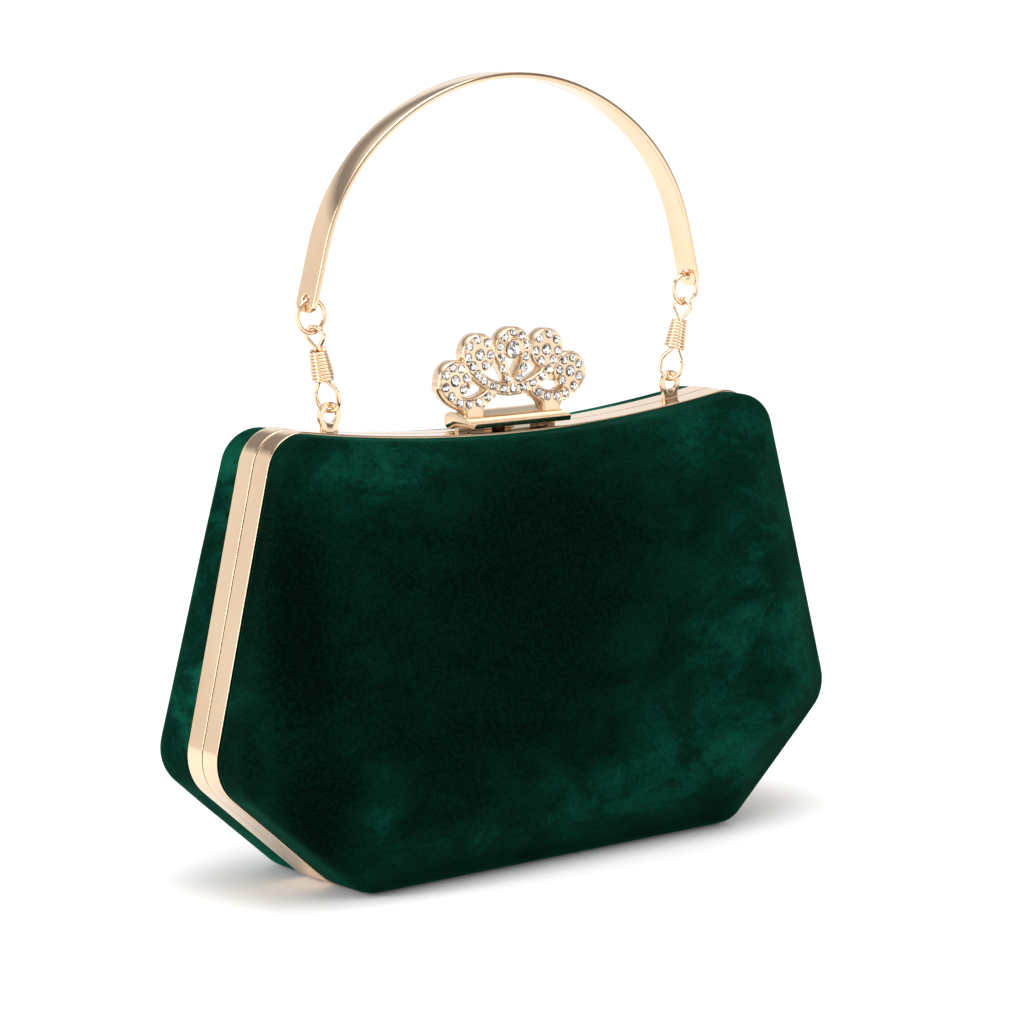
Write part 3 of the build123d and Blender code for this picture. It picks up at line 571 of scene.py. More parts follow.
paintedSheenSet = {
    "calm": 0.20, "wall": {"front": 0.02, "rear": 0.50}, "gain": 0.70,
    # painted sheen and shade patches: x, z, half width, half height, amount; negative amounts paint shade
    "patches": (
        (-56, 112, 20, 12, 0.55), (-82, 116, 20, 6, 0.38), (6, 116, 45, 6, 0.34), (62, 104, 26, 16, 0.46),
        (70, 74, 20, 26, 0.36), (48, 50, 28, 24, 0.34), (86, 50, 9, 30, 0.40), (14, 20, 32, 14, 0.42),
        (56, 24, 22, 14, 0.40), (-34, 13, 24, 6, 0.36), (-68, 20, 7, 14, 0.34), (-70, 62, 7, 34, 0.16),
        (-99, 70, 2.2, 44, 0.30), (-88, 78, 8, 34, -0.34), (-84, 22, 10, 14, -0.26),
        (-14, 88, 40, 26, -0.20), (-22, 50, 34, 22, -0.12)),
}


def paintedSheenAmount(points, marks, word, s):
    # painted sheen and shade: high where the velvet is painted lighter as if lit or catching sheen, low
    # where it is painted dark as shade; the rear side wall gets painted sheen
    x, z = points[:, 0] / mm, points[:, 2] / mm
    amount = s["calm"] + s["wall"][word] * np.clip(1 - marks / 0.8, 0, 1)
    for px, pz, wide, high, much in s["patches"]:
        amount += s["gain"] * much * np.exp(-((x - px) / wide) ** 2 - ((z - pz) / high) ** 2)
    return np.clip(amount, 0, 1)


def makeCovers():
    for word, flip in (("front", False), ("rear", True)):
        points, faces, marks = makeSkin(coverSet)
        amount = paintedSheenAmount(points, marks, word, paintedSheenSet)
        if flip:
            points = mirrored(points)
        piece = makePiece(word + "VelvetCover", points, faces)
        # each velvet cover carries its painted sheen and shade as a point attribute
        layer = piece.data.attributes.new("paintedSheenMarks", "FLOAT", "POINT")
        layer.data.foreach_set("value", amount.astype(np.float32))
        closeUp(piece)
        finishPiece(piece, word + "_half", "velvet", materials["velvet"], word + "_cover")
    print("velvet covers made")


pocketSet = {
    "half": 55.0, "low": 26.0, "high": 84.0, "corner": 6.0, "cornerSteps": 8, "back": 3.3, "thickness": 0.8,
    "edge": 0.15, "hem": 1.8, "hemDrop": 0.3, "panelDrop": 0.45,
}


def pocketOutline(s, inset):
    # the pocket's rounded rectangle in x and z
    centres = [(1, s["high"]), (1, s["low"]), (-1, s["low"]), (-1, s["high"])]
    points = []
    for turn, (side, level) in enumerate(centres):
        up = 1 if level == s["high"] else -1
        middle = (side * (s["half"] - s["corner"]), level - up * s["corner"])
        for angle in np.radians(np.linspace(90 - 90 * turn, -90 * turn, s["cornerSteps"] + 1)):
            radius = s["corner"] - min(inset, s["corner"] - 0.5)
            slack = max(inset - s["corner"] + 0.5, 0.0)
            points.append((middle[0] - side * slack + radius * math.cos(angle),
                           middle[1] - up * slack + radius * math.sin(angle)))
    return points


def makePocket(s):
    # a flat cloth pocket whose hem stands a little proud of its panel
    back, front = s["back"], s["back"] + s["thickness"]
    levels = [(0.0, back), (0.0, front - s["edge"]), (s["edge"], front), (s["hem"], front),
              (s["hem"] + 0.15, front - s["hemDrop"]), (s["hem"] + 4.0, front - s["panelDrop"])]
    face = caseShape["faceDepth"]
    rings = [[(x, depthAt(face, z) - depth, z) for x, z in pocketOutline(s, inset)]
             for inset, depth in levels]
    size = len(rings[0])
    faces = quadsBetween(len(rings), size)
    faces.append(tuple(range(size - 1, -1, -1)))
    faces.append(tuple(range((len(rings) - 1) * size, len(rings) * size)))
    piece = closeUp(makePiece("slipPocket", np.array(rings).reshape(-1, 3) * mm, faces))
    sharpen(piece, 50)
    finishPiece(piece, "rear_half", "lining", materials["satin"], "slip_pocket")
    print("slip pocket made")


innerSkins = {
    "CaseShell": {
        "insets": (1.35, 1.6, 17.5, 29.0), "wall": 1.2, "depthLoss": 1.3,
        "slot": "shell_board", "material": "board", "node": "_shell"},
    "SatinLining": {
        "insets": (3.05, 3.4, 17.8, 29.0), "wall": 0.5, "depthLoss": 2.75,
        "slot": "lining", "material": "satin", "node": "_lining"},
}
smoothSkin = {
    "steps": 5, "collapse": (0.15, 0.3, 0.45, 0.6, 0.75, 0.9), "start": 2.35,
    "bulge": 0.0, "tuck": 0.0, "dents": 0.0, "dentScale": 0.05, "crown": 0.0, "puff": 0.0,
}


def makeInnerSkins():
    for kind, s in innerSkins.items():
        for word, flip in (("front", False), ("rear", True)):
            points, faces, _ = makeSkin({**smoothSkin, **s, "bases": s["insets"]})
            if flip:
                points = mirrored(points)
            piece = closeUp(makePiece(word + kind, points, faces))
            finishPiece(piece, word + "_half", s["slot"], materials[s["material"]], word + s["node"])
    print("case shells and linings made")


bandSet = {
    "bevel": 0.20, "bevelSteps": 4, "seam": 0.20, "flangeReach": 4.5, "flangeFront": 1.4, "flangeBack": 2.2,
    "hingeHeight": 1.3, "openAngle": 36.0, "notchHalf": 30.3, "notchRadius": 1.37,
}


def bandProfile(s):
    # inset and depth round the section of one band and its flange
    wide, thick, bevel = caseShape["bandWidth"], caseShape["bandThickness"], s["bevel"]
    arc = np.linspace(0, math.pi / 2, s["bevelSteps"] + 1)
    seam = [(bevel - bevel * math.sin(a), s["seam"] + bevel - bevel * math.cos(a)) for a in arc]
    edge = [(bevel - bevel * math.cos(a), wide - bevel + bevel * math.sin(a)) for a in arc]
    reach = thick + s["flangeReach"]
    rest = [(thick, wide), (thick, s["flangeBack"] + 0.1), (thick + 0.1, s["flangeBack"]),
            (reach, s["flangeBack"]), (reach + 0.2, 1.8), (reach, s["flangeFront"]),
            (thick, s["flangeFront"]), (thick, 0.2), (thick - 0.1, s["seam"])]
    face = [(0.0, 1.2), (0.0, wide - 1.2)]
    return seam + face + edge + rest


def makeBands(s):
    for word, flip in (("front", False), ("rear", True)):
        rings = []
        for inset, depth in bandProfile(s):
            loop = outlineLoop(inset, inset, tightRadii(inset))
            below = np.clip(s["hingeHeight"] - loop[:, 1], 0, None)
            least = below * math.tan(math.radians(s["openAngle"]))
            aroundPin = np.sqrt(np.clip(s["notchRadius"] ** 2 - below ** 2, 0, None))
            notched = (np.abs(loop[:, 0]) < s["notchHalf"]) & (loop[:, 1] < s["hingeHeight"] + 0.01)
            least = np.where(notched, np.maximum(least, aroundPin), least)
            depths = np.maximum(depth, least)
            rings.append(np.stack([loop[:, 0], -depths, loop[:, 1]], 1))
        rings = np.array(rings)
        points = rings.reshape(-1, 3) * mm
        if flip:
            points = mirrored(points)
        piece = makePiece(word + "GoldBand", points, quadsBetween(len(rings), rings.shape[1], True))
        closeUp(piece, weld=1e-9)
        sharpen(piece, 50)
        finishPiece(piece, word + "_half", "polished_gold", materials["gold"], word + "_frame")
    print("frame bands made")


makeCovers()
makeInnerSkins()
makePocket(pocketSet)
makeBands(bandSet)


def holedRings(hole, boundary, rays, ringCount):
    # rings of points from a round hole out to a boundary, one ray each
    rows = []
    for k in range(ringCount + 1):
        t = k / ringCount
        rows.append([(math.cos(a) * (hole * (1 - t) + r * t), math.sin(a) * (hole * (1 - t) + r * t))
                     for a, r in zip(rays, boundary)])
    return rows


def sheetOfRings(work, rows):
    # a flat sheet of faces between rings of points
    grid = [[work.verts.new((x, y, 0)) for x, y in row] for row in rows]
    for inner, outer in zip(grid, grid[1:]):
        for i in range(len(inner)):
            j = (i + 1) % len(inner)
            work.faces.new((inner[i], inner[j], outer[j], outer[i]))
    return grid


def thicken(work, thickness, bevel, segments):
    # a flat sheet of faces in x and y becomes a plate with rounded edges
    made = bmesh.ops.extrude_face_region(work, geom=list(work.faces))
    raised = [v for v in made["geom"] if isinstance(v, bmesh.types.BMVert)]
    bmesh.ops.translate(work, verts=raised, vec=(0, 0, thickness))
    bmesh.ops.recalc_face_normals(work, faces=work.faces)
    rims = [e for e in work.edges if len(e.link_faces) == 2 and e.calc_face_angle(0) > 1.2]
    bmesh.ops.bevel(work, geom=rims, offset=bevel, segments=segments, profile=0.5, affect="EDGES")


def pieceFrom(work, name):
    mesh = bpy.data.meshes.new(name)
    work.to_mesh(mesh)
    work.free()
    piece = bpy.data.objects.new(name, mesh)
    bpy.context.collection.objects.link(piece)
    return piece


handleSet = {
    "top": 215.4, "topRadius": 73.0, "topAngle": 38.0, "shoulderRadius": 54.7, "legAngle": 75.2,
    "holeX": 67.66, "holeZ": 157.5, "holeRadius": 1.45, "endMargin": 3.4, "middleY": 0.85,
    "width": 8.0, "thickness": 1.6, "cornerRadius": 3.0, "bevel": 0.32,
    "patch": 9.0, "steps": 170, "endRays": 44,
}


def handlePath(s):
    a, b = math.radians(s["topAngle"]), math.radians(s["legAngle"])
    topLength = s["topRadius"] * a
    shoulderLength = s["shoulderRadius"] * (b - a)
    topZ = s["top"] - s["topRadius"]
    step = s["topRadius"] - s["shoulderRadius"]
    shoulderX, shoulderZ = step * math.sin(a), topZ + step * math.cos(a)
    legX = shoulderX + s["shoulderRadius"] * math.sin(b)
    legZ = shoulderZ + s["shoulderRadius"] * math.cos(b)
    legLength = (legZ - s["holeZ"]) / math.sin(b) + s["endMargin"]

    def at(distance):
        side, d = (1 if distance >= 0 else -1), abs(distance)
        if d < topLength:
            t = d / s["topRadius"]
            x, z = s["topRadius"] * math.sin(t), topZ + s["topRadius"] * math.cos(t)
        elif d < topLength + shoulderLength:
            t = a + (d - topLength) / s["shoulderRadius"]
            x = shoulderX + s["shoulderRadius"] * math.sin(t)
            z = shoulderZ + s["shoulderRadius"] * math.cos(t)
        else:
            t = b
            run = d - topLength - shoulderLength
            x, z = legX + run * math.cos(b), legZ - run * math.sin(b)
        return np.array([side * x, z]), np.array([side * math.sin(t), math.cos(t)])

    return at, topLength + shoulderLength + legLength


def endBoundary(s, rays):
    # distance from the hole's centre to the strip's rounded end, along each ray
    half, out, back, r = s["width"] / 2, s["endMargin"], s["patch"] - s["endMargin"], s["cornerRadius"]
    found = []
    for angle in rays:
        c, n = math.cos(angle), math.sin(angle)
        reach = min(out / c if c > 1e-6 else 1e9, back / -c if c < -1e-6 else 1e9,
                    half / abs(n) if abs(n) > 1e-6 else 1e9)
        x, y = c * reach, n * reach
        if x > out - r and abs(y) > half - r:  # inside a rounded corner's square
            cx, cy = out - r, math.copysign(half - r, y)
            along = c * cx + n * cy
            reach = along + math.sqrt(max(along ** 2 - (cx ** 2 + cy ** 2 - r ** 2), 0))
        found.append(reach)
    return found


def makeHandle(s):
    at, reach = handlePath(s)
    half, join = s["width"] / 2, reach - s["patch"]
    work = bmesh.new()
    corner = math.atan2(half, -(s["patch"] - s["endMargin"]))
    endRays = np.linspace(-corner, corner, s["endRays"])
    rays = np.concatenate([endRays, np.linspace(corner, 2 * math.pi - corner, 10)[1:-1]])
    seams = {}
    for side in (-1, 1):
        rows = holedRings(s["holeRadius"], endBoundary(s, rays), rays, 3)
        centre = reach - s["endMargin"]
        grid = sheetOfRings(work, [[(side * (centre + x), y) for x, y in row] for row in rows])
        edge = grid[-1]
        seams[side] = [*edge[s["endRays"] - 1:], edge[0]]  # across the strip, from +y to -y
    stops = np.linspace(-join, join, s["steps"] + 1)[1:-1]
    rows = [(work.verts.new((d, -half, 0)), work.verts.new((d, half, 0))) for d in stops]
    for (a, b), (c, d) in zip(rows, rows[1:]):
        work.faces.new((a, c, d, b))
    work.faces.new((rows[-1][0], *reversed(seams[1]), rows[-1][1]))
    work.faces.new((rows[0][0], rows[0][1], *seams[-1]))
    thicken(work, s["thickness"], s["bevel"], 3)
    for v in work.verts:
        place, outward = at(v.co.x)
        spot = place + outward * (v.co.z - s["thickness"] / 2)
        v.co = Vector((spot[0], s["middleY"] + v.co.y, spot[1])) * mm
    piece = closeUp(pieceFrom(work, "goldHandleStrip"))
    sharpen(piece, 40)
    finishPiece(piece, "handle", "polished_gold", materials["gold"], "handle_bar")
    print("handle made")


tabSet = {
    "x": 60.9, "y": 0.85, "thickness": 1.0, "outer": 3.7, "hole": 2.05, "top": 130.1,
    "neck": 2.8, "length": 11.0, "bevel": 0.26,
}


def makeTabs(s):
    centre = s["top"] - s["outer"]
    rays = np.linspace(0, 2 * math.pi, 73)[:-1]
    notch = math.sqrt(s["outer"] ** 2 - s["neck"] ** 2)
    boundary = []
    for angle in rays:
        c, n = math.cos(angle), math.sin(angle)
        reach = s["outer"]
        if n < 0 and abs(c) * s["outer"] < s["neck"] and -n * s["outer"] > notch:
            reach = min(s["length"] / -n, s["neck"] / abs(c) if abs(c) > 1e-6 else 1e9)
        boundary.append(reach)
    for word, side in (("left", -1), ("right", 1)):
        work = bmesh.new()
        rows = holedRings(s["hole"], boundary, rays, 3)
        sheetOfRings(work, rows)
        thicken(work, s["thickness"], s["bevel"], 3)
        for v in work.verts:
            place = (side * s["x"] + v.co.x, s["y"] - s["thickness"] / 2 + v.co.z, centre + v.co.y)
            v.co = Vector(place) * mm
        piece = closeUp(pieceFrom(work, word + "HandleLug"))
        sharpen(piece, 40)
        finishPiece(piece, "rear_half", "polished_gold", materials["gold"], word + "_tab")
    print("tabs made")


makeHandle(handleSet)
makeTabs(tabSet)

hookSet = {
    "tabX": 60.9, "tabY": 0.85, "rimZ": 129.275, "holeX": 67.66, "holeZ": 157.5, "turn": 64.0,
    "wire": 0.6, "loop": 3.25, "loopBottom": -1.8, "nose": 3.3, "leg": 0.66,
    "throat": 4.0, "legFoot": 6.9, "legTop": 16.1, "tailEnd": 9.4,
    "eye": 2.6, "eyeFoot": 18.7, "eyeTop": 21.65,
    "gateWire": 0.5, "gateRoute": ((1.42, 9.0), (1.42, 6.6), (3.1, 3.85)),
    "coilStart": 6.85, "coilEnd": 15.85, "coilTurns": 9, "coilLow": 2.72, "coilHigh": 1.85, "coilWire": 0.52,
    "ringRadius": 4.35, "ringWire": 0.65, "eyeJoint": 20.25,
}


def hookAxes(side, s):
    along = Vector((side * (s["holeX"] - s["tabX"]), 0, s["holeZ"] - s["rimZ"])).normalized()
    turn = math.radians(s["turn"])
    across = Vector((math.cos(turn), -math.sin(turn), 0))
    across = (across - along * across.dot(along)).normalized()
    return Vector((side * s["tabX"], s["tabY"], s["rimZ"])), across, along


def filletPath(points, radii, spacing):
    # straight runs joined by arcs, as evenly spaced points
    made = [np.array(points[0], float)]
    for before, corner, after, radius in zip(points, points[1:], points[2:], radii):
        arc = roundedCorner(np.array(before, float), np.array(corner, float), np.array(after, float),
                            radius, 10)
        made.extend(arc)
    made.append(np.array(points[-1], float))
    dense = [made[0]]
    for a, b in zip(made, made[1:]):
        steps = max(1, int(np.linalg.norm(b - a) / spacing))
        dense.extend(a + (b - a) * t for t in np.linspace(0, 1, steps + 1)[1:])
    return np.array(dense)


def tube(path, radius, sides, closed=False, dome=True):
    # a round wire along 3D points; open ends are domed
    path = np.asarray(path, float)
    keep = np.ones(len(path), bool)
    keep[1:] = np.linalg.norm(np.diff(path, axis=0), axis=1) > 1e-6
    path = path[keep]
    count = len(path)
    ahead = np.roll(path, -1, 0) if closed else np.vstack([path[1:], path[-1:]])
    behind = np.roll(path, 1, 0) if closed else np.vstack([path[:1], path[:-1]])
    tangent = ahead - behind
    tangent /= np.linalg.norm(tangent, axis=1)[:, None]
    # one constant side direction suits these flat bends
    normal = np.cross(tangent[0], tangent[count // 3] + tangent[count // 2] * 0.37)
    if np.linalg.norm(normal) < 1e-6:
        normal = np.cross(tangent[0], (0.3, 0.5, 0.8))
    normal /= np.linalg.norm(normal)
    rings = []
    angles = np.linspace(0, 2 * math.pi, sides, endpoint=False)
    for k in range(count):
        flat = normal - tangent[k] * (normal @ tangent[k])
        flat /= np.linalg.norm(flat)
        other = np.cross(tangent[k], flat)
        circle = np.cos(angles)[:, None] * flat + np.sin(angles)[:, None] * other
        rings.append((path[k], tangent[k], circle))
    rows = []
    if not closed and dome:
        for push, shrink in ((0.5, 0.0), (0.45, 0.45), (0.25, 0.85)):
            p, t, c = rings[0]
            rows.append(p - t * radius * push + c * radius * max(shrink, 0.05))
    rows += [p + c * radius for p, _, c in rings]
    if not closed and dome:
        for push, shrink in ((0.25, 0.85), (0.45, 0.45), (0.5, 0.0)):
            p, t, c = rings[-1]
            rows.append(p + t * radius * push + c * radius * max(shrink, 0.05))
    points = np.vstack(rows)
    faces = quadsBetween(len(rows), sides, closed)
    if not closed:
        faces.append(tuple(range(sides - 1, -1, -1)))
        faces.append(tuple(range((len(rows) - 1) * sides, len(rows) * sides)))
    return points, faces


def wirePiece(name, side, points, radii, wire, s):
    origin, across, along = hookAxes(side, s)
    flat = filletPath(points, radii, 0.35)
    path = [origin + across * u + along * v for u, v in flat]
    made, faces = tube(np.array(path), wire, 16)
    return closeUp(makePiece(name, made * mm, faces))


def startGrowTree(name, sockets, takesPoints=False):
    # an empty geometry tree with its named inputs, and a material input after them
    tree = bpy.data.node_groups.new(name, "GeometryNodeTree")
    if takesPoints:
        tree.interface.new_socket("Geometry", in_out="INPUT", socket_type="NodeSocketGeometry")
    kinds = {float: "Float", int: "Int", tuple: "Vector", type(None): "Material"}
    ids = {}
    for label, value in (*sockets, ("Material", None)):
        kind = "NodeSocket" + kinds[type(value)]
        socket = tree.interface.new_socket(label, in_out="INPUT", socket_type=kind)
        if value is not None:
            socket.default_value = value
        ids[label] = socket.identifier
    tree.interface.new_socket("Geometry", in_out="OUTPUT", socket_type="NodeSocketGeometry")
    return tree, ids, tree.nodes.new("NodeGroupInput"), tree.nodes.new("NodeGroupOutput")


def endGrowTree(tree, given, out, shape):
    real = addNode(tree, "GeometryNodeRealizeInstances")
    paint = addNode(tree, "GeometryNodeSetMaterial")
    link(shape, real.inputs[0])
    link(real.outputs[0], paint.inputs["Geometry"])
    link(given.outputs["Material"], paint.inputs["Material"])
    link(paint.outputs[0], out.inputs[0])


def coilTree():
    tree, ids, given, out = startGrowTree("woundWire", (
        ("Turns", 9.0), ("Low Radius", 0.0027), ("High Radius", 0.0018), ("Height", 0.009),
        ("Wire Radius", 0.0005)))
    spiral = addNode(tree, "GeometryNodeCurveSpiral", None, {"Resolution": 36})
    for label, socketName in (("Turns", "Rotations"), ("Low Radius", "Start Radius"),
                              ("High Radius", "End Radius"), ("Height", "Height")):
        link(given.outputs[label], spiral.inputs[socketName])
    circle = addNode(tree, "GeometryNodeCurvePrimitiveCircle", None, {"Resolution": 14})
    link(given.outputs["Wire Radius"], circle.inputs["Radius"])
    wound = addNode(tree, "GeometryNodeCurveToMesh", None, {"Fill Caps": True})
    link(spiral.outputs[0], wound.inputs["Curve"])
    link(circle.outputs[0], wound.inputs["Profile Curve"])
    endGrowTree(tree, given, out, wound.outputs[0])
    return tree, ids


def growMesh(name, tree, values, points=((0, 0, 0),)):
    # runs a geometry tree on bare points and keeps its result as a plain mesh
    seed = makePiece(name + "Seed", points, [])
    modifier = seed.modifiers.new("grow", "NODES")
    modifier.node_group = tree
    for identifier, value in values.items():
        modifier[identifier] = value
    bpy.context.view_layer.update()
    evaluated = seed.evaluated_get(bpy.context.evaluated_depsgraph_get())
    mesh = bpy.data.meshes.new_from_object(evaluated)
    mesh.name = name
    seed.modifiers.clear()
    bpy.data.objects.remove(seed)
    piece = bpy.data.objects.new(name, mesh)
    bpy.context.collection.objects.link(piece)
    return piece


def makeHooks(s):
    tree, ids = coilTree()
    w, e = s["loop"], s["eye"]
    for word, g in (("left", -1), ("right", 1)):
        body = word + "_hook"
        points = [(g * w, s["nose"]), (g * w, s["loopBottom"]), (-g * w, s["loopBottom"]),
                  (-g * w, s["throat"]), (-g * s["leg"], s["legFoot"]), (-g * s["leg"], s["legTop"]),
                  (-g * e, s["eyeFoot"]),
                  (-g * e, s["eyeTop"]), (g * e, s["eyeTop"]), (g * e, s["eyeFoot"]),
                  (g * s["leg"], s["legTop"]), (g * s["leg"], s["tailEnd"])]
        radii = [w - 0.02, w - 0.02, 1.6, 1.6, 1.0, 1.0, e - 0.02, e - 0.02, 1.0, 1.0]
        piece = wirePiece(word + "HookWire", g, points, radii, s["wire"], s)
        finishPiece(piece, body, "polished_gold", materials["gold"], body)
        route = [(g * x, z) for x, z in s["gateRoute"]]
        gate = wirePiece(word + "HookGate", g, route, [2.0], s["gateWire"], s)
        finishPiece(gate, word + "_gate", "polished_gold", materials["gold"], word + "_gate")
        coil = growMesh(word + "HookCoil", tree, {
            ids["Turns"]: float(s["coilTurns"]), ids["Low Radius"]: s["coilLow"] * mm,
            ids["High Radius"]: s["coilHigh"] * mm, ids["Height"]: (s["coilEnd"] - s["coilStart"] - 1) * mm,
            ids["Wire Radius"]: s["coilWire"] * mm, ids["Material"]: materials["gold"]})
        origin, across, along = hookAxes(g, s)
        axes = Matrix((across, along.cross(across), along)).transposed().to_4x4()
        start = (origin + along * (s["coilStart"] + 0.5)) * mm
        coil.data.transform(Matrix.Translation(start) @ axes)
        closeUp(coil)
        finishPiece(coil, body, "polished_gold", materials["gold"], word + "_coil")
        centre = origin + along * (s["eyeJoint"] + s["ringRadius"])
        turn = np.linspace(0, 2 * math.pi, 64, endpoint=False)
        circle = [centre + Vector((math.cos(t), 0, math.sin(t))) * s["ringRadius"] for t in turn]
        made, faces = tube(np.array(circle), s["ringWire"], 16, closed=True)
        ring = closeUp(makePiece(word + "JumpRing", made * mm, faces))
        finishPiece(ring, word + "_ring", "polished_gold", materials["gold"], word + "_ring")
    print("hooks, coils, gates and rings made")


makeHooks(hookSet)

claspSet = {
    "half": 17.2, "front": -6.9, "bottom": 119.9, "lip": 1.3, "pinY": 4.5, "pinZ": 121.2, "barrel": 2.4,
    "wall": 0.8, "bevel": 0.16, "ribs": 36, "ribRadius": 0.33, "ribEnd": 2.0, "lipLean": 0.22,
}


def claspTop(y, s=claspSet):
    crest = s["pinZ"] + s["barrel"]
    start, end = s["bottom"] + s["lip"], crest - 0.25
    return start + (end - start) * (y - s["front"]) / (s["pinY"] - 2.4 - s["front"])


def makeFlap(s):
    # outer section in y and z, from the lip's foot over the top and round the barrel
    arc = [(s["pinY"] + s["barrel"] * math.sin(a), s["pinZ"] + s["barrel"] * math.cos(a))
           for a in np.linspace(-0.2, math.radians(165), 22)]
    outer = [(s["front"] + s["lipLean"], s["bottom"]), (s["front"], s["bottom"] + s["lip"]),
             (s["pinY"] - 2.4, s["pinZ"] + s["barrel"] - 0.25), *arc]
    inner = [(s["pinY"] + 0.55, 119.6), (s["pinY"] + 0.55, s["pinZ"] - 1.2)]
    bore = s["barrel"] - s["wall"]
    arcIn = [(s["pinY"] + bore * math.sin(a), s["pinZ"] + bore * math.cos(a))
             for a in np.linspace(math.radians(120), 0, 10)]
    back = [*arcIn, (s["pinY"] - 2.4, s["pinZ"] + s["barrel"] - 0.25 - s["wall"]),
            (s["front"] + s["wall"], s["bottom"] + 0.65), (s["front"] + s["wall"], s["bottom"])]
    section = outer + inner[:1] + back
    cheek = [*outer, (s["pinY"] - 0.6, s["bottom"] - 1.05), (s["pinY"] - 2.3, s["bottom"])]
    work = bmesh.new()

    def slab(points, low, high):
        verts = [work.verts.new((low, y, z)) for y, z in points]
        face = work.faces.new(verts)
        made = bmesh.ops.extrude_face_region(work, geom=[face])
        moved = [v for v in made["geom"] if isinstance(v, bmesh.types.BMVert)]
        bmesh.ops.translate(work, verts=moved, vec=(high - low, 0, 0))

    slab(section, -s["half"] + s["wall"], s["half"] - s["wall"])
    slab(cheek, -s["half"], -s["half"] + s["wall"])
    slab(cheek, s["half"] - s["wall"], s["half"])
    bmesh.ops.recalc_face_normals(work, faces=work.faces)
    rims = [e for e in work.edges if len(e.link_faces) == 2 and e.calc_face_angle(0) > 0.6
            and all(abs(abs(v.co.x) - s["half"]) < 0.01 for v in e.verts)]
    bmesh.ops.bevel(work, geom=rims, offset=s["bevel"], segments=2, profile=0.5, affect="EDGES")
    for v in work.verts:
        v.co = v.co * mm
    piece = pieceFrom(work, "claspFlapShell")
    for polygon in piece.data.polygons:
        polygon.use_smooth = True
    sharpen(piece, 35)
    finishPiece(piece, "clasp_flap", "polished_gold", materials["gold"], "clasp_flap")
    # the ground between the ribs is left rough, and painted dark as the shade in the grooves
    piece.data.materials.append(materials["grooveShadeGold"])
    for polygon in piece.data.polygons:
        middle = polygon.center / mm
        onSlope = s["front"] < middle.y < s["pinY"] - 2.4 and abs(middle.z - claspTop(middle.y)) < 0.1
        if polygon.normal.z > 0.9 and onSlope:
            polygon.material_index = 1


def ribTree():
    tree, ids, given, out = startGrowTree("ribsAndBeads", (
        ("Count", 37), ("Pitch", 0.0009), ("Rib Radius", 0.00036), ("Rib Length", 0.009), ("Rib Slope", 0.2),
        ("Bead Radius", 0.0004), ("Rib Place", (0.0, 0.0, 0.0)), ("Bead Place", (0.0, 0.0, 0.0))))
    step = addNode(tree, "ShaderNodeCombineXYZ")
    link(given.outputs["Pitch"], step.inputs["X"])
    join = addNode(tree, "GeometryNodeJoinGeometry")

    def rowOf(shape, placeName, rotation=None):
        line = addNode(tree, "GeometryNodeMeshLine", {"mode": "OFFSET"})
        link(given.outputs["Count"], line.inputs["Count"])
        link(given.outputs[placeName], line.inputs["Start Location"])
        link(step.outputs[0], line.inputs["Offset"])
        put = addNode(tree, "GeometryNodeInstanceOnPoints")
        link(line.outputs[0], put.inputs["Points"])
        link(shape, put.inputs["Instance"])
        if rotation is not None:
            link(rotation, put.inputs["Rotation"])
        link(put.outputs[0], join.inputs[0])

    rib = addNode(tree, "GeometryNodeMeshCylinder", {"fill_type": "NGON"}, {"Vertices": 10})
    link(given.outputs["Rib Radius"], rib.inputs["Radius"])
    link(given.outputs["Rib Length"], rib.inputs["Depth"])
    lay = addNode(tree, "ShaderNodeCombineXYZ")
    link(given.outputs["Rib Slope"], lay.inputs["X"])
    rowOf(rib.outputs["Mesh"], "Rib Place", lay.outputs[0])
    bead = addNode(tree, "GeometryNodeMeshUVSphere", None, {"Segments": 8, "Rings": 6})
    link(given.outputs["Bead Radius"], bead.inputs["Radius"])
    rowOf(bead.outputs["Mesh"], "Bead Place")
    smooth = addNode(tree, "GeometryNodeSetShadeSmooth")
    link(join.outputs[0], smooth.inputs[0])
    endGrowTree(tree, given, out, smooth.outputs[0])
    return tree, ids


def makeRibs(s):
    tree, ids = ribTree()
    front, back = s["front"] + 0.5, s["ribEnd"]
    slope = math.atan2(claspTop(back) - claspTop(front), back - front)
    length = math.hypot(back - front, claspTop(back) - claspTop(front))
    pitch = 2 * (s["half"] - 0.45) / (s["ribs"] - 1)
    middle = (front + back) / 2
    startX = -(s["half"] - 0.45)
    ribs = growMesh("claspRibs", tree, {
        ids["Count"]: s["ribs"], ids["Pitch"]: pitch * mm, ids["Rib Radius"]: s["ribRadius"] * mm,
        ids["Rib Length"]: length * mm, ids["Rib Slope"]: math.pi / 2 + slope,
        ids["Bead Radius"]: 0.4 * mm, ids["Material"]: materials["castGold"],
        ids["Rib Place"]: (startX * mm, middle * mm, (claspTop(middle) + 0.06) * mm),
        ids["Bead Place"]: (startX * mm, (s["front"] + 0.34) * mm, (claspTop(s["front"]) + 0.02) * mm)})
    finishPiece(ribs, "clasp_flap", "cast_gold", materials["castGold"])
    print("clasp ribs made")


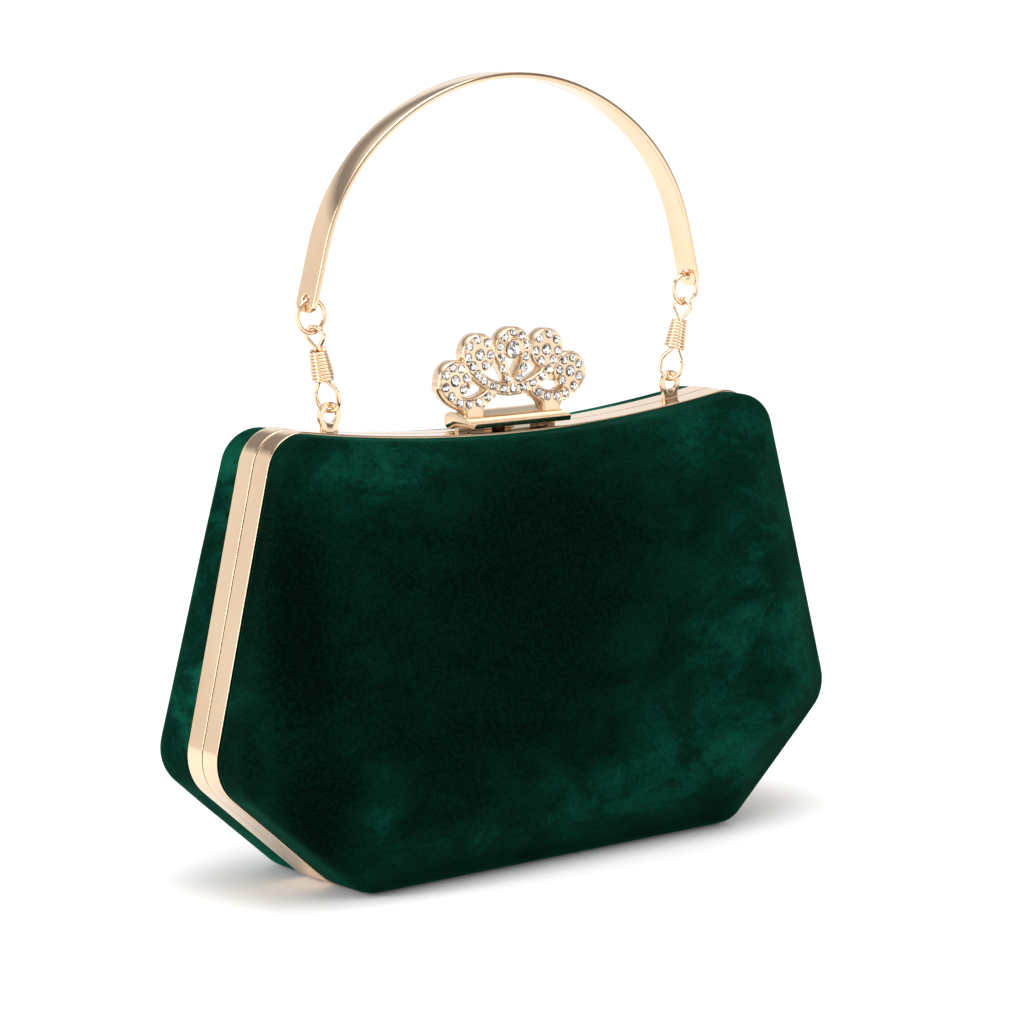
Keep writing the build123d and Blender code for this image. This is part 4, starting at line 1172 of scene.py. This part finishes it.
crownSet = {
    "front": -2.5, "thickness": 3.9, "pitch": 0.2, "blend": 0.35,
    "rim": 0.2, "rimAt": 0.38, "rimWidth": 0.24, "edgeRound": 0.45, "field": 0.18,
    "centreLobe": (0.0, 140.2, 4.9), "sideLobe": (12.1, 139.8, 4.0), "outerLobe": (20.4, 132.9, 3.75),
    "smileArc": (0.0, 148.8, 19.5), "footArc": (14.9, 137.1, 11.0), "tip": (0.4, 131.2),
    "ringHalf": 1.55, "ringFrom": 136.6, "legTop": (4.55, 138.4), "legHalf": 1.5,
    "sideSpread": 1.75, "outerSpread": 1.95,
    "footSweep": (-130, -30), "footHalf": 1.9, "smileSweep": (-90, -41), "smileHalf": 1.8,
    "footBlock": (13.8, 123.4, 3.2, 2.4),  # middle and half sizes
    "piercings": (((14.4, 128.7), (17.7, 128.2), (16.4, 132.0)), ((-2.9, 138.2), (0, 132.3), (2.9, 138.2))),
    "stone": 1.0, "lobeStone": 1.3, "centreStone": 1.95, "spread": 1.2, "footBlend": 1.6,
}


def onCircle(circle, degrees):
    return (circle[0] + circle[2] * math.cos(math.radians(degrees)),
            circle[1] + circle[2] * math.sin(math.radians(degrees)))


def smallStonePlaces(s):
    centre = [onCircle(s["centreLobe"], a) for a in (90, 49, 14, -26)]
    legs = [(3.75, 135.0), (2.05, 132.3)]
    side = [onCircle(s["sideLobe"], a) for a in (81, 34, -14, 134, 188, 238, -57)]
    smile = [onCircle(s["smileArc"], a) for a in (-90, -79.7, -69.0, -58.3, -49.6)]
    outer = [onCircle(s["outerLobe"], a) for a in (75, 123, 27, 173, 223, -26)]
    foot = [onCircle(s["footArc"], a) for a in (-51, -69, -86, -104, -122)]
    right = centre[1:] + legs + side + smile[1:] + outer + foot
    return [centre[0], smile[0]] + right + [(-x, z) for x, z in right]


def lobeStonePlaces():
    return [(side * x, z) for side in (-1, 1) for x, z in ((11.9, 139.4), (20.5, 132.8))]


def crownDistance(x, z, s):
    # signed distance to the crown's outline, negative inside
    x = np.abs(x)

    def disc(circle, extra):
        return np.hypot(x - circle[0], z - circle[1]) - circle[2] - extra

    def arcBand(circle, sweep, half):
        angle = np.degrees(np.arctan2(z - circle[1], x - circle[0]))
        near = np.clip(angle, *sweep)
        px = circle[0] + circle[2] * np.cos(np.radians(near))
        pz = circle[1] + circle[2] * np.sin(np.radians(near))
        return np.hypot(x - px, z - pz) - half

    def capsule(a, b, half):
        ax, az = a
        bx, bz = b
        t = np.clip(((x - ax) * (bx - ax) + (z - az) * (bz - az)) / ((bx - ax) ** 2 + (bz - az) ** 2), 0, 1)
        return np.hypot(x - ax - t * (bx - ax), z - az - t * (bz - az)) - half

    def joined(one, other, blend):
        gap = np.clip(blend - np.abs(one - other), 0, None) / blend
        return np.minimum(one, other) - gap ** 2 * blend / 4

    ring = np.abs(disc(s["centreLobe"], 0)) - s["ringHalf"]
    parts = [np.where(z > s["ringFrom"], ring, 9.0), capsule(s["legTop"], s["tip"], s["legHalf"]),
             disc(s["sideLobe"], s["sideSpread"]), disc(s["outerLobe"], s["outerSpread"]),
             arcBand(s["footArc"], s["footSweep"], s["footHalf"]),
             arcBand(s["smileArc"], s["smileSweep"], s["smileHalf"])]
    total = parts[0]
    for part in parts[1:]:
        total = joined(total, part, s["blend"])
    footX, footZ, footWide, footHigh = s["footBlock"]
    foot = np.maximum(np.abs(x - footX) - footWide, np.abs(z - footZ) - footHigh)
    total = joined(total, foot, s["footBlend"])

    def wedge(corners):
        inside = None
        for (ax, az), (bx, bz) in zip(corners, corners[1:] + corners[:1]):
            length = math.hypot(bx - ax, bz - az)
            d = ((x - ax) * (bz - az) - (z - az) * (bx - ax)) / length
            inside = d if inside is None else np.maximum(inside, d)
        return inside

    for corners in s["piercings"]:
        total = np.maximum(total, -wedge(corners))
    seat = disc((*s["centreLobe"][:2], s["centreStone"]), 0.6)
    filled = np.maximum(disc((*s["centreLobe"][:2], s["centreStone"]), 1.6), 139.0 - z)
    return np.minimum(total, np.minimum(seat, filled))


def makeCrown(s):
    step = s["pitch"]
    xs = np.arange(-27.0, 27.0 + step, step)
    zs = np.arange(121.0, 147.6, step)
    x, z = np.meshgrid(xs, zs, indexing="ij")
    middle = crownDistance((x[:-1, :-1] + x[1:, 1:]) / 2, (z[:-1, :-1] + z[1:, 1:]) / 2, s)
    kept = middle < 0
    used = np.zeros_like(x, bool)
    free = np.zeros_like(x, bool)
    for di, dj in ((0, 0), (1, 0), (0, 1), (1, 1)):
        used[di:di + kept.shape[0], dj:dj + kept.shape[1]] |= kept
        free[di:di + kept.shape[0], dj:dj + kept.shape[1]] |= ~kept
    border = used & free
    # border points slide onto the true outline
    for _ in range(3):
        e = 0.02
        gx = (crownDistance(x + e, z, s) - crownDistance(x - e, z, s)) / (2 * e)
        gz = (crownDistance(x, z + e, s) - crownDistance(x, z - e, s)) / (2 * e)
        d = crownDistance(x, z, s)
        size = np.maximum(gx ** 2 + gz ** 2, 0.2)
        x = np.where(border, x - np.clip(d * gx / size, -step * 0.7, step * 0.7), x)
        z = np.where(border, z - np.clip(d * gz / size, -step * 0.7, step * 0.7), z)
    depth = np.clip(-crownDistance(x, z, s), 0, None)
    depth[border] = 0
    # rounded edge, raised rim, sunk field, and a seat with a collar round each stone
    height = -s["edgeRound"] * np.clip(1 - depth / s["edgeRound"], 0, 1) ** 2
    height += s["rim"] * np.exp(-((depth - s["rimAt"]) / s["rimWidth"]) ** 2)
    height -= s["field"] * np.clip((depth - 0.6) / 0.3, 0, 1)
    seats = [(p, s["stone"]) for p in smallStonePlaces(s)] + [(p, s["lobeStone"]) for p in lobeStonePlaces()]
    seats.append((s["centreLobe"][:2], s["centreStone"]))
    for (sx, sz), radius in seats:
        r = np.hypot(x - sx, z - sz)
        height += 0.10 * np.exp(-((r - radius - 0.14) / 0.17) ** 2) * np.clip(depth / 0.3, 0, 1)
        height -= 0.45 * np.clip((radius + 0.02 - r) / 0.25, 0, 1)
    index = -np.ones(x.shape, int)
    index[used] = np.arange(used.sum())
    fx, fz, fh = x[used], z[used], height[used]
    frontPoints = np.stack([fx, np.full(len(fx), s["front"]) - fh, fz], 1)
    rear = s["front"] + s["thickness"]
    backPoints = np.stack([fx, rear - 0.6 * np.clip(1 - depth[used] / 0.8, 0, 1) ** 2, fz], 1)
    cells = np.argwhere(kept)
    a, b = index[cells[:, 0], cells[:, 1]], index[cells[:, 0] + 1, cells[:, 1]]
    c, e = index[cells[:, 0] + 1, cells[:, 1] + 1], index[cells[:, 0], cells[:, 1] + 1]
    total = len(fx)
    faces = [tuple(f) for f in np.stack([a, b, c, e], 1)]
    faces += [tuple(f) for f in np.stack([e, c, b, a], 1) + total]
    edges = {}
    for quad in np.stack([a, b, c, e], 1):
        for i in range(4):
            p, q = int(quad[i]), int(quad[(i + 1) % 4])
            if (q, p) in edges:
                del edges[(q, p)]
            else:
                edges[(p, q)] = True
    faces += [(q, p, p + total, q + total) for p, q in edges]
    piece = makePiece("crownCasting", np.vstack([frontPoints, backPoints]) * mm, faces)
    closeUp(piece, weld=1e-8)
    sharpen(piece, 62)
    finishPiece(piece, "clasp_flap", "cast_gold", materials["castGold"], "crown")
    print("crown faces:", len(piece.data.polygons))


def stoneTree():
    # a cut stone on every point: a bevelled top, and a pointed back that sits in its seat
    tree, ids, given, out = startGrowTree("cutStones", (
        ("Radius", 0.001), ("Top Height", 0.0004), ("Back Depth", 0.0005), ("Sides", 12), ("Seed", 3)), True)
    tableSize = addNode(tree, "ShaderNodeMath", {"operation": "MULTIPLY"}, {1: 0.56})
    link(given.outputs["Radius"], tableSize.inputs[0])
    top = addNode(tree, "GeometryNodeMeshCone", {"fill_type": "TRIANGLE_FAN"}, {"Side Segments": 2})
    back = addNode(tree, "GeometryNodeMeshCone", {"fill_type": "NGON"}, {"Radius Top": 0.00012})
    for cone in (top, back):
        link(given.outputs["Sides"], cone.inputs["Vertices"])
        link(given.outputs["Radius"], cone.inputs["Radius Bottom"])
    link(tableSize.outputs[0], top.inputs["Radius Top"])
    link(given.outputs["Top Height"], top.inputs["Depth"])
    link(given.outputs["Back Depth"], back.inputs["Depth"])
    flip = addNode(tree, "GeometryNodeTransform", None, {"Rotation": (math.pi, 0, 0)})
    link(back.outputs["Mesh"], flip.inputs["Geometry"])
    both = addNode(tree, "GeometryNodeJoinGeometry")
    link(top.outputs["Mesh"], both.inputs[0])
    link(flip.outputs[0], both.inputs[0])
    weld = addNode(tree, "GeometryNodeMergeByDistance", None, {"Distance": 1e-6})
    link(both.outputs[0], weld.inputs["Geometry"])
    put = addNode(tree, "GeometryNodeInstanceOnPoints")
    link(given.outputs["Geometry"], put.inputs["Points"])
    link(weld.outputs[0], put.inputs["Instance"])
    spin = addNode(tree, "FunctionNodeRandomValue", {"data_type": "FLOAT"})
    link(given.outputs["Seed"], spin.inputs["Seed"])
    turned = addNode(tree, "ShaderNodeCombineXYZ", None, {"X": math.pi / 2})
    link(spin.outputs[1], turned.inputs["Y"])
    link(turned.outputs[0], put.inputs["Rotation"])
    real = addNode(tree, "GeometryNodeRealizeInstances")
    link(put.outputs[0], real.inputs[0])
    # a random value per face, the painted reflection that the stone material turns into grey
    glint = addNode(tree, "FunctionNodeRandomValue", {"data_type": "FLOAT"})
    link(given.outputs["Seed"], glint.inputs["Seed"])
    keep = addNode(tree, "GeometryNodeStoreNamedAttribute", {"data_type": "FLOAT", "domain": "FACE"},
                   {"Name": "paintedFacetGlint"})
    link(real.outputs[0], keep.inputs["Geometry"])
    link(glint.outputs[1], keep.inputs["Value"])
    endGrowTree(tree, given, out, keep.outputs[0])
    return tree, ids


def makeStones(s):
    tree, ids = stoneTree()
    sets = [("crownSmallStones", smallStonePlaces(s), s["stone"], 10, "crown_small_stones"),
            ("crownLobeStones", lobeStonePlaces(), s["lobeStone"], 12, "crown_lobe_stones"),
            ("crownCentreStone", [s["centreLobe"][:2]], s["centreStone"], 16, "crown_centre_stone")]
    for name, places, radius, sides, node in sets:
        level = s["front"] - 0.13
        points = [(x * mm, level * mm, z * mm) for x, z in places]
        piece = growMesh(name, tree, {
            ids["Radius"]: radius * s["spread"] * mm, ids["Top Height"]: 0.38 * radius * mm,
            ids["Back Depth"]: 0.5 * mm, ids["Sides"]: sides, ids["Seed"]: 3,
            ids["Material"]: materials["stone"]}, points)
        finishPiece(piece, "clasp_flap", "rhinestone", materials["stone"], node)
    print("stones set")


makeFlap(claspSet)
makeRibs(claspSet)
makeCrown(crownSet)
makeStones(crownSet)

plainNodes = {
    "gold": ["clasp_base", "catch_block"],
    "steel": ["front_hinge_leaf", "rear_hinge_leaf", "front_hinge_rivets", "rear_hinge_rivets",
              "case_hinge_pin", "tab_rivets", "clasp_pin", "clasp_spring", "latch_tongue"],
}
for finish, names in plainNodes.items():
    for nodeName in names:
        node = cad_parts[nodeName]
        node.data.materials.clear()
        node.data.materials.append(materials[finish])
print("CAD pieces painted")
